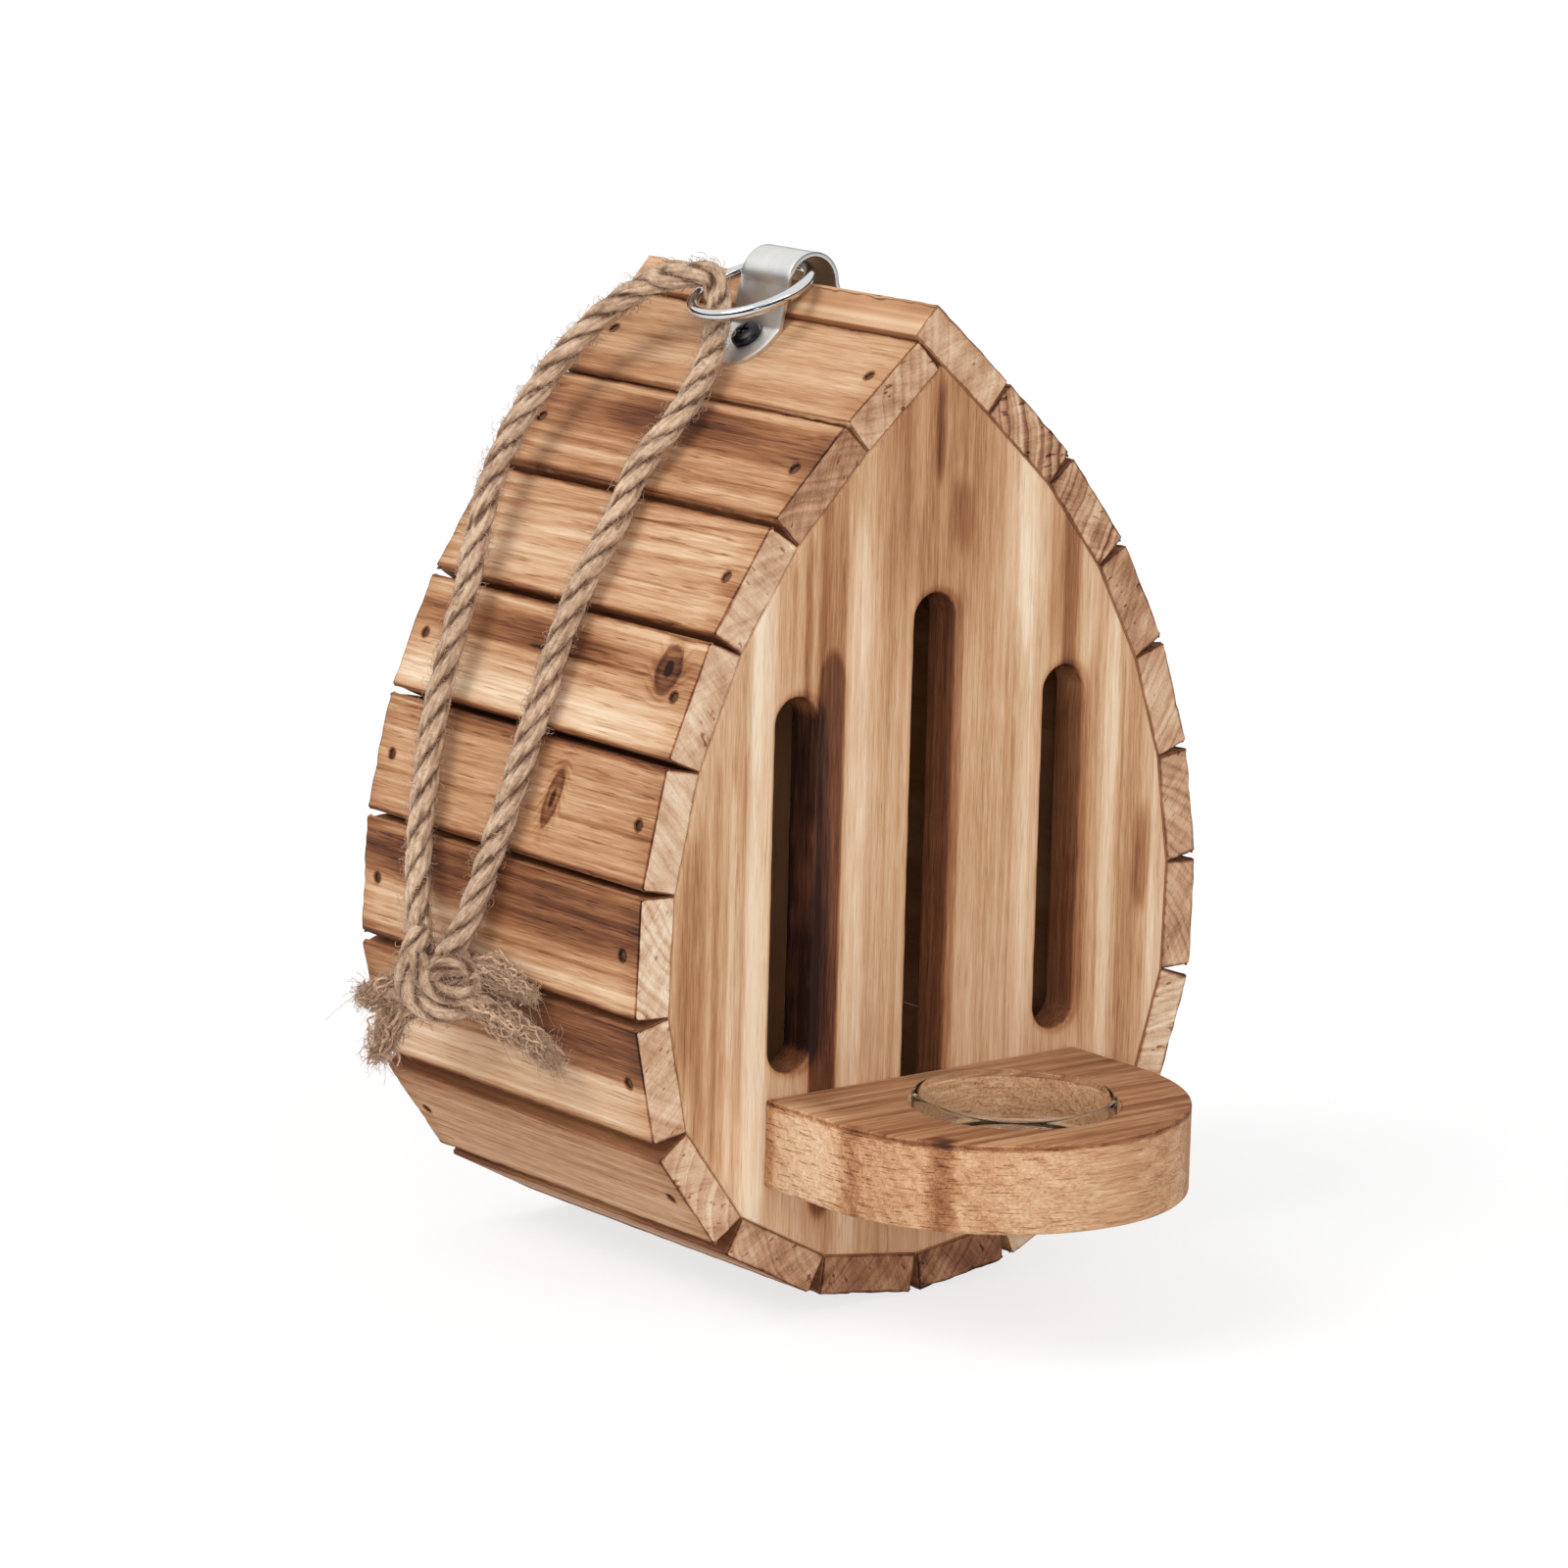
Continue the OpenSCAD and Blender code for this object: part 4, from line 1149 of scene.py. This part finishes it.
dishY = teardrop["front"] - shelfLook["dishReach"]
shelf = addPiece("shelf_board", prism("shelf_board", shelfContour(), shelfLook["top"] - shelfLook["thick"],
                                      shelfLook["top"]))
cutAway(shelf, addPiece("recess", prism(
    "recess", circlePoints((0, dishY), shelfLook["recessRadius"], 96), shelfLook["recessFloor"],
    shelfLook["top"] + 5)))
roundEdges(shelf, shelfLook["edge"], 3, 40)
shelf.data.shade_smooth()
storeBoard(shelf.data, lambda co: (co.y, co.x, co.z))
shelfWood = {
    "Shift": (4.4, 8.1, 2.6), "Middle": -0.05, "Half Width": 0.3, "Half Length": 0.3, "Thickness": 0.3,
    "Heat": 0.32, "Late Heat": 0.06, "Ring Gap": 0.0032, "Pith": (0.03, 0.02, -0.02), "Blotch": 0.16,
    "Ticks": 0.5, "Veins": 0.30, "Strands": 0.18, "Checks": 0.05,
}
shelfMarks = [  # from the panel outwards, and from left to right
    streak(-20, 3, 0.16, -46, 0, 2.0, 1.0), streak(-48.4, 4.0, 0.14, -45.6, 0, 3.0, 0.8),
    streak(-69, 5.0, 0.24, -36, 0, 1.6, 0.9), streak(-77.7, 4.0, 0.03, -29.6, 0, 1.2, 0.9),
    streak(-84, 8, -0.03, -18, 3, 1.5, 1.0), streak(-88, 7, 0.05, 8, 6, 1.5, 1.0),
    streak(-78, 9, 0.10, 30, 0, 2.0, 1.0), streak(-32, 20, -0.16, -47, 0, 3.0, 0.5),
    streak(-34, 6, 0.08, 45, 0, 2.0, 1.0),
]


def shelfMaterial():
    material, shader = newMaterial("fir_shelf")
    board = boardPlace()
    spot = split(board)
    offset = spot["X"] - dishY * mm
    fromDish = calc("SQRT", offset * offset + spot["Y"] * spot["Y"])
    top, radius, bottom = (shelfLook[name] * mm for name in ("top", "recessRadius", "recessFloor"))
    milled = fade(fromDish, radius + 0.0001, radius + 0.0007)  # cut after the burning, so pale
    onTop = ease(spot["Z"], top - 0.0006, top - 0.0001) * (1.0 - milled)
    ribs = ease(speckle(stretch(board, 1, 0.012, 1), 430.0, 1.0), 0.34, 0.66, -0.08, 0.08)
    arris = ease(spot["Z"], top - 0.0020, top - 0.0007) * (1.0 - calc("MAXIMUM", milled, onTop))
    burn = arris * 0.30 + onTop * (ribs + 0.15)
    specks = ease(speckle(board, 1500.0, 3.0, 0.6), 0.50, 0.70, -0.10, 0.08)
    # painted shade: the recess wall darker, its floor lighter
    paintedShade = ease(spot["Z"], bottom + 0.0002, bottom + 0.0012, -0.06, 0.10)
    burn = milled * (specks + paintedShade) + burn
    # fine scratches run round the sawn rim
    scored = ease(speckle(stretch(board, 0.07, 0.07, 1), 2300.0, 3.0, 0.7), 0.52, 0.70, 0.0, 0.34)
    burn = scored * (ease(spot["Y"], -0.036, 0.004, 1.0, 0.35) * (1.0 - onTop)) + burn
    burn = burn + addMarks(board, shelfMarks)
    dressFir(shader, dict(shelfWood, Board=board, Burn=burn), lambda grain: ribs * (onTop * -4.0) + grain)
    return material


shelf.data.materials.append(shelfMaterial())
register(shelf, "housing", "shelf_wood", "shelf")

# Nectar dish: pressed glass, loose in the recess
dishLook = {"radius": 23.4, "height": 14.0, "wall": 1.8, "floor": 2.4, "base": 40.5, "foot": 1.2}
outer, inner = dishLook["radius"], dishLook["radius"] - dishLook["wall"]
lip = dishLook["wall"] / 2
lipBase, floor = dishLook["height"] - lip, dishLook["floor"]
dishProfile = [
    (0, 0.25), (outer - 6, 0.25), (outer - 4.5, 0), (outer - dishLook["foot"], 0), (outer - 0.35, 0.35),
    (outer, dishLook["foot"]), (outer, lipBase),
    *((outer - lip + lip * math.cos(math.radians(a)), lipBase + lip * math.sin(math.radians(a)))
      for a in range(20, 180, 20)),
    (inner, lipBase), (inner, floor + 2), (inner - 0.6, floor + 0.6), (inner - 2, floor), (0, floor + 0.1),
]
dish = addPiece("dish_glass", latheRing(dishProfile, 96, (0, dishY, dishLook["base"])))
register(dish, "dish", "clear_glass", "nectar_dish")

# Hanger strap: one bent strip
strapLook = {"width": 17.5, "thick": 1.0, "archX": -2.028, "archZ": 229.983, "archRadius": 6.574,
             "flare": 1.5, "run": 4.5, "bendRadius": 1.6, "step": 0.5, "edge": 0.22}


def roofPoint(facing, along, above):  # a point over the top slats, measured from the peak
    slope = math.radians(teardrop["roofSlope"])
    high = teardrop["slatThick"] + above
    return Vector((facing * (along * math.cos(slope) + high * math.sin(slope)),
                   peakZ - along * math.sin(slope) + high * math.cos(slope)))


def alongRoof(x):
    slope = math.radians(teardrop["roofSlope"])
    return (abs(x) - teardrop["slatThick"] * math.sin(slope)) / math.cos(slope)


def roundedCorner(before, corner, after, radius, step):
    a, b = (before - corner).normalized(), (after - corner).normalized()
    reach = radius / math.tan(a.angle(b) / 2)
    parts = max(3, int(reach * 2 / step))
    bend = []
    for k in range(parts + 1):
        t = k / parts
        bend.append((1 - t) ** 2 * (corner + a * reach) + 2 * t * (1 - t) * corner + t ** 2 * (corner + b * reach))
    return [before, *bend, after]


def bendStrap(look):
    half = look["thick"] / 2
    radius = look["archRadius"] + half
    middle = Vector((look["archX"], look["archZ"]))
    legs, screws = [], []
    for facing in (-1, 1):
        foot = middle.x + facing * (look["archRadius"] + look["flare"])
        screws.append(look["run"] + alongRoof(foot))
        corner = roofPoint(facing, alongRoof(foot + facing * look["thick"]), half)
        tip = roofPoint(facing, screws[-1] + look["width"] / 2, half)
        shoulder = middle + Vector((facing * radius, 0))
        legs.append(roundedCorner(tip, corner, shoulder, look["bendRadius"], look["step"]))
    arch = [middle + radius * Vector((math.cos(math.pi * k / 24), math.sin(math.pi * k / 24)))
            for k in range(24, -1, -1)]
    line = legs[0][:-1] + arch + legs[1][::-1][1:]
    dense = [line[0]]
    for a, b in zip(line, line[1:]):
        parts = max(1, round((b - a).length / look["step"]))
        dense += [a.lerp(b, k / parts) for k in range(1, parts + 1)]
    run = [0.0]
    for a, b in zip(dense, dense[1:]):
        run.append(run[-1] + (b - a).length)
    total, rim = run[-1], look["width"] / 2
    verts, faces, columns = [], [], 12
    for spot, at in zip(dense, run):
        short = min(at, total - at)  # the tips are half round
        wide = rim if short >= rim else math.sqrt(max(rim * rim - (rim - short) ** 2, 0.01))
        verts += [Vector((spot.x, middleY + wide * (2 * k / columns - 1), spot.y)) * mm for k in range(columns + 1)]
    for i in range(len(dense) - 1):
        for k in range(columns):
            a = i * (columns + 1) + k
            faces.append((a, a + 1, a + columns + 2, a + columns + 1))
    mesh = bpy.data.meshes.new("strap_band")
    mesh.from_pydata(verts, [], faces)
    mesh.shade_smooth()
    return mesh, screws


strapMesh, strapScrews = bendStrap(strapLook)
strap = addPiece("strap_band", strapMesh)
thick = strap.modifiers.new("thickness", "SOLIDIFY")
thick.thickness, thick.offset, thick.use_even_offset = strapLook["thick"] * mm, 0, True
roundEdges(strap, strapLook["edge"], 2, 50)
register(strap, "housing", "galvanised_strap", "hanger_strap")

# Ring of round wire
ringLook = {"radius": 14.0, "wire": 2.8, "reach": 12.233, "fall": 22.0, "hingeZ": 233.27}
ringMesh = latheRing(circlePoints((ringLook["radius"], 0), ringLook["wire"] / 2, 28), 120, (0, 0, 0))
ringMesh.transform(Matrix.Translation(Vector((strapLook["archX"], middleY, ringLook["hingeZ"])) * mm)
                   @ Matrix.Rotation(math.radians(-ringLook["fall"]), 4, "Y")
                   @ Matrix.Translation(Vector((-ringLook["reach"], 0, 0)) * mm))
ring = addPiece("hanger_ring_wire", ringMesh)
register(ring, "ring", "bright_ring", "hanger_ring")

# Pan head screws with a cross recess, one in each leg of the strap
screwLook = {"head": 7.6, "high": 2.2, "shank": 3.5, "length": 9.0, "cross": 4.0, "blade": 0.9, "deep": 1.3}


def panScrew(look):
    r, rise = look["head"] / 2, 0.75
    profile = [(0, -look["length"]), (0.6, -look["length"]), (look["shank"] / 2, -look["length"] + 2.5),
               (look["shank"] / 2, 0), (r - 0.25, 0), (r, 0.3), (r, rise)]
    profile += [(r * math.cos(math.radians(a)) ** 0.75, rise + (look["high"] - rise) * math.sin(math.radians(a)))
                for a in range(15, 90, 15)]
    profile += [(0, look["high"])]
    head = addPiece("screw", latheRing(profile, 40, (0, 0, 0)))
    c, b, d = look["cross"] / 2 * mm, look["blade"] / 2 * mm, look["deep"] * mm
    over = 0.4
    top = (look["high"] + over) * mm
    outline = [(c, -b), (c, b), (b, b), (b, c), (-b, c), (-b, b), (-c, b), (-c, -b), (-b, -b), (-b, -c), (b, -c),
               (b, -b)]
    cross = bmesh.new()
    upper = [cross.verts.new((x, y, top)) for x, y in outline]
    lower = [cross.verts.new((x * 0.45, y * 0.45, top - over * mm - d)) for x, y in outline]
    cross.faces.new(upper)
    cross.faces.new(lower[::-1])
    for k in range(len(outline)):
        n = (k + 1) % len(outline)
        cross.faces.new((upper[k], lower[k], lower[n], upper[n]))
    cutAway(head, addPiece("cross", writeMesh(cross, bpy.data.meshes.new("cross"))))
    mesh = head.data
    bpy.data.objects.remove(head)
    return mesh


screwMesh = panScrew(screwLook)
bothScrews = bmesh.new()
for facing, along in zip((-1, 1), strapScrews):
    spot = roofPoint(facing, along, strapLook["thick"])
    turn = (Matrix.Rotation(math.radians(facing * teardrop["roofSlope"]), 4, "Y")
            @ Matrix.Rotation(0.5 + facing * 0.3, 4, "Z"))
    one = screwMesh.copy()
    one.transform(Matrix.Translation(Vector((spot.x, middleY, spot.y)) * mm) @ turn)
    bothScrews.from_mesh(one)
screwsMesh = bpy.data.meshes.new("strap_screw_heads")
bothScrews.to_mesh(screwsMesh)
bothScrews.free()
screws = addPiece("strap_screw_heads", screwsMesh)
register(screws, "housing", "black_screw", "strap_screws")
print("strap, ring, screws and dish made")


# Finishes of the rope, the metals and the glass
def buildJuteGroup():
    # the Depth input is the painted crevice shade mask: 1.0 leaves the fibre unshaded
    tree, given, out = addGroup("juteFibre", "ShaderNodeTree", {
        "Along": (0, 0, 0), "Where": (0, 0, 0), "Depth": 1.0, "Light": (0.7, 0.5, 0.35, 1),
        "Dark": (0.35, 0.2, 0.12, 1), "Crevice Shade": (0.15, 0.08, 0.04, 1),
    }, {"Color": "Color", "Height": "Float"})
    threads = speckle(given["Along"], 420.0, 4.0, 0.7)
    mottle = speckle(given["Where"], 420.0, 4.0, 0.7)
    nicks = speckle(given["Where"], 330.0)
    patch = speckle(given["Where"], 95.0, 1.0)
    shade = threads * 0.62 + mottle * 0.38
    lit = calc("MULTIPLY_ADD", patch - 0.5, 1.1, ease(shade, 0.34, 0.64), clamp=True)
    # painted shade: the crevice shade tone fills the rope's crevices, and random nicks pull it in too
    creviceShade = ease((nicks - 0.5) * 0.9 + given["Depth"], 0.22, 0.84)
    fibre = blendTones(lit, given["Dark"], given["Light"])
    fill(out, {"Color": blendTones(creviceShade, given["Crevice Shade"], fibre), "Height": shade})
    return tree


def objectPlace():
    return addNode("ShaderNodeTexCoord")["Object"]


def juteMaterial(name, laid, light, dark, deep):
    material, shader = newMaterial(name)
    where = objectPlace()
    values = {"Where": where, "Light": tone(light), "Dark": tone(dark), "Crevice Shade": tone(deep)}
    if laid:
        values["Along"] = stretch(addNode("ShaderNodeUVMap", uv_map="lay"), 0.5, 0.045, 1.0)
        # the painted crevice shade stored on the laid rope
        values["Depth"] = addNode("ShaderNodeAttribute", attribute_name="creviceShade")["Fac"]
    else:
        values["Along"] = stretch(where, 1.6, 1.6, 1.6)
    made = addNode("ShaderNodeGroup", values, node_tree=juteGroup)
    dress(shader, made["Color"], made["Height"], 0.0004,
          {"Roughness": 0.85, "Specular IOR Level": 0.2, "Sheen Weight": 0.15})
    return material


juteGroup = buildJuteGroup()
# light and dark fibre tones, then the painted crevice shade tone
juteLaid = juteMaterial("jute_laid", True, "#dcc0a4", "#a8866b", "#6b4c38")
juteTail = juteMaterial("jute_tail", False, "#d0ae90", "#977359", "#5a3f30")
for piece, material in ((ropeLoop, juteLaid), (ropeKnot, juteLaid), (ropeTails, juteTail),
                        (fuzzPieces["rope_fuzz"], juteTail), (fuzzPieces["knot_fuzz"], juteTail)):
    piece.data.materials.clear()
    piece.data.materials.append(material)
    register(piece, "ring", "jute")


def buildMetalGroup():
    tree, given, out = addGroup("wornMetal", "ShaderNodeTree", {
        "Where": (0, 0, 0), "Colour": (0.7, 0.7, 0.7, 1), "Roughness": 0.3, "Grain": 400.0, "Speck": 0.1,
    }, {"Color": "Color", "Roughness": "Float", "Height": "Float"})
    fine = speckle(given["Where"], given["Grain"], 4.0)
    worn = (fine + speckle(given["Where"], 120.0)) * given["Speck"]
    aged = blendTones(worn, given["Colour"], (0.05, 0.05, 0.05, 1))
    fill(out, {"Color": aged, "Roughness": (fine - 0.5) * 0.2 + given["Roughness"], "Height": fine})
    return tree


def metalMaterial(name, colour, rough, grain, speck=0.0):
    material, shader = newMaterial(name)
    values = {"Where": objectPlace(), "Colour": tone(colour), "Roughness": rough, "Grain": grain, "Speck": speck}
    made = addNode("ShaderNodeGroup", values, node_tree=metalGroup)
    dress(shader, made["Color"], made["Height"], 0.00003, {"Roughness": made["Roughness"], "Metallic": 1.0})
    return material


metalGroup = buildMetalGroup()
strap.data.materials.append(metalMaterial("strap_zinc", "#f0eeeb", 0.36, 420.0, 0.18))
ring.data.materials.append(metalMaterial("ring_chrome", "#dcdcdc", 0.09, 300.0, 0.05))
screws.data.materials.append(metalMaterial("screw_black", "#2c2b2c", 0.35, 700.0, 0.3))
for node, colour, rough in (("shelf_screws", "#b9babb", 0.35), ("front_brads", "#8f6648", 0.6),
                            ("back_brads", "#8f6648", 0.6)):
    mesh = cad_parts[node].data
    mesh.materials.clear()
    mesh.materials.append(metalMaterial(node + "_steel", colour, rough, 900.0, 0.4))

glass, shader = newMaterial("dish_clear")
fill(shader, {
    "Base Color": (0.98, 0.99, 0.985, 1), "Transmission Weight": 1.0, "IOR": 1.10, "Coat Weight": 0.35,
    "Coat Roughness": 0.02, "Roughness": speckle(objectPlace(), 60.0) * 0.05,
})
dish.data.materials.append(glass)

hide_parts("rope")
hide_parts("rope_knot")
ropePath[::3] + [ropePath[-1]]
print("finishes set")


# Pale floor and soft studio light
def shownDirectly():  # to the camera, in a reflection or through the glass
    light = addNode("ShaderNodeLightPath")
    mirrored = light["Is Glossy Ray"] + light["Is Transmission Ray"]
    return calc("ADD", light["Is Camera Ray"], mirrored, clamp=True)


def stageMaterial():
    material = bpy.data.materials.new("stage_floor")
    material.use_nodes = True
    tree = bench["tree"] = material.node_tree
    tree.nodes.clear()
    bounce = addNode("ShaderNodeBsdfDiffuse", {"Color": (0.8, 0.79, 0.78, 1)})
    paper = addNode("ShaderNodeBsdfDiffuse", {"Color": (0.30, 0.30, 0.30, 1)})
    glow = addNode("ShaderNodeEmission", {"Color": (0.74, 0.74, 0.74, 1), "Strength": 1.0})
    white = addNode("ShaderNodeAddShader", {0: paper, 1: glow})
    mixed = addNode("ShaderNodeMixShader", {0: shownDirectly(), 1: bounce, 2: white})
    fill(tree.nodes.new("ShaderNodeOutputMaterial"), {"Surface": mixed})
    return material


floorMesh = bpy.data.meshes.new("stage_floor")
floorMesh.from_pydata([(-12, -12, -0.0001), (12, -12, -0.0001), (12, 12, -0.0001), (-12, 12, -0.0001)], [],
                      [(0, 1, 2, 3)])
stageFloor = addPiece("stage_floor", floorMesh, stageMaterial())

# a dark band round the set that only glossy rays meet, for the metal's contrast
band = {"radius": 2.5, "low": 0.02, "high": 0.95, "taller": 1.4, "towards": 231, "sides": 64}
bandRing = circlePoints((0, 0), band["radius"], band["sides"])
bandVerts = [(x, y, band["low"]) for x, y in bandRing]
bandFaces = []
for k, (x, y) in enumerate(bandRing):
    facing = math.cos(2 * math.pi * k / band["sides"] - math.radians(band["towards"]))
    bandVerts.append((x, y, band["high"] + band["taller"] * max(0.0, facing) ** 2))
    n = (k + 1) % band["sides"]
    bandFaces.append((k, n, n + band["sides"], k + band["sides"]))
bandMesh = bpy.data.meshes.new("stage_band")
bandMesh.from_pydata(bandVerts, [], bandFaces)
bandMaterial, shader = newMaterial("stage_dark")
fill(shader, {"Base Color": (0.02, 0.02, 0.02, 1)})
darkBand = addPiece("stage_band", bandMesh, bandMaterial)
darkBand.visible_camera = darkBand.visible_diffuse = darkBand.visible_shadow = darkBand.visible_transmission = False

studio = {
    "sky": 0.50,
    "lamps": [  # where the light comes from, strength, softness in degrees
        ("keyLamp", (-0.80, 0.10, 0.85), 1.42, 35),
        ("frontLamp", (-0.20, -1.0, 0.45), 0.75, 60),
        ("fillLamp", (-0.62, -0.76, 0.22), 0.85, 10),
    ],
}
world = bpy.data.worlds.new("studio")
scene.world = world
world.use_nodes = True
tree = bench["tree"] = world.node_tree
tree.nodes.clear()
strength = studio["sky"] + shownDirectly() * (1 - studio["sky"])
sky = addNode("ShaderNodeBackground", {"Color": (1, 1, 1, 1), "Strength": strength})
fill(tree.nodes.new("ShaderNodeOutputWorld"), {"Surface": sky})
for name, source, power, softness in studio["lamps"]:
    lampData = bpy.data.lights.new(name, "SUN")
    lampData.energy = power
    lampData.angle = math.radians(softness)
    lamp = bpy.data.objects.new(name, lampData)
    lamp.rotation_euler = Vector(source).to_track_quat("Z", "Y").to_euler()
    scene.collection.objects.link(lamp)
print("stage and light set")
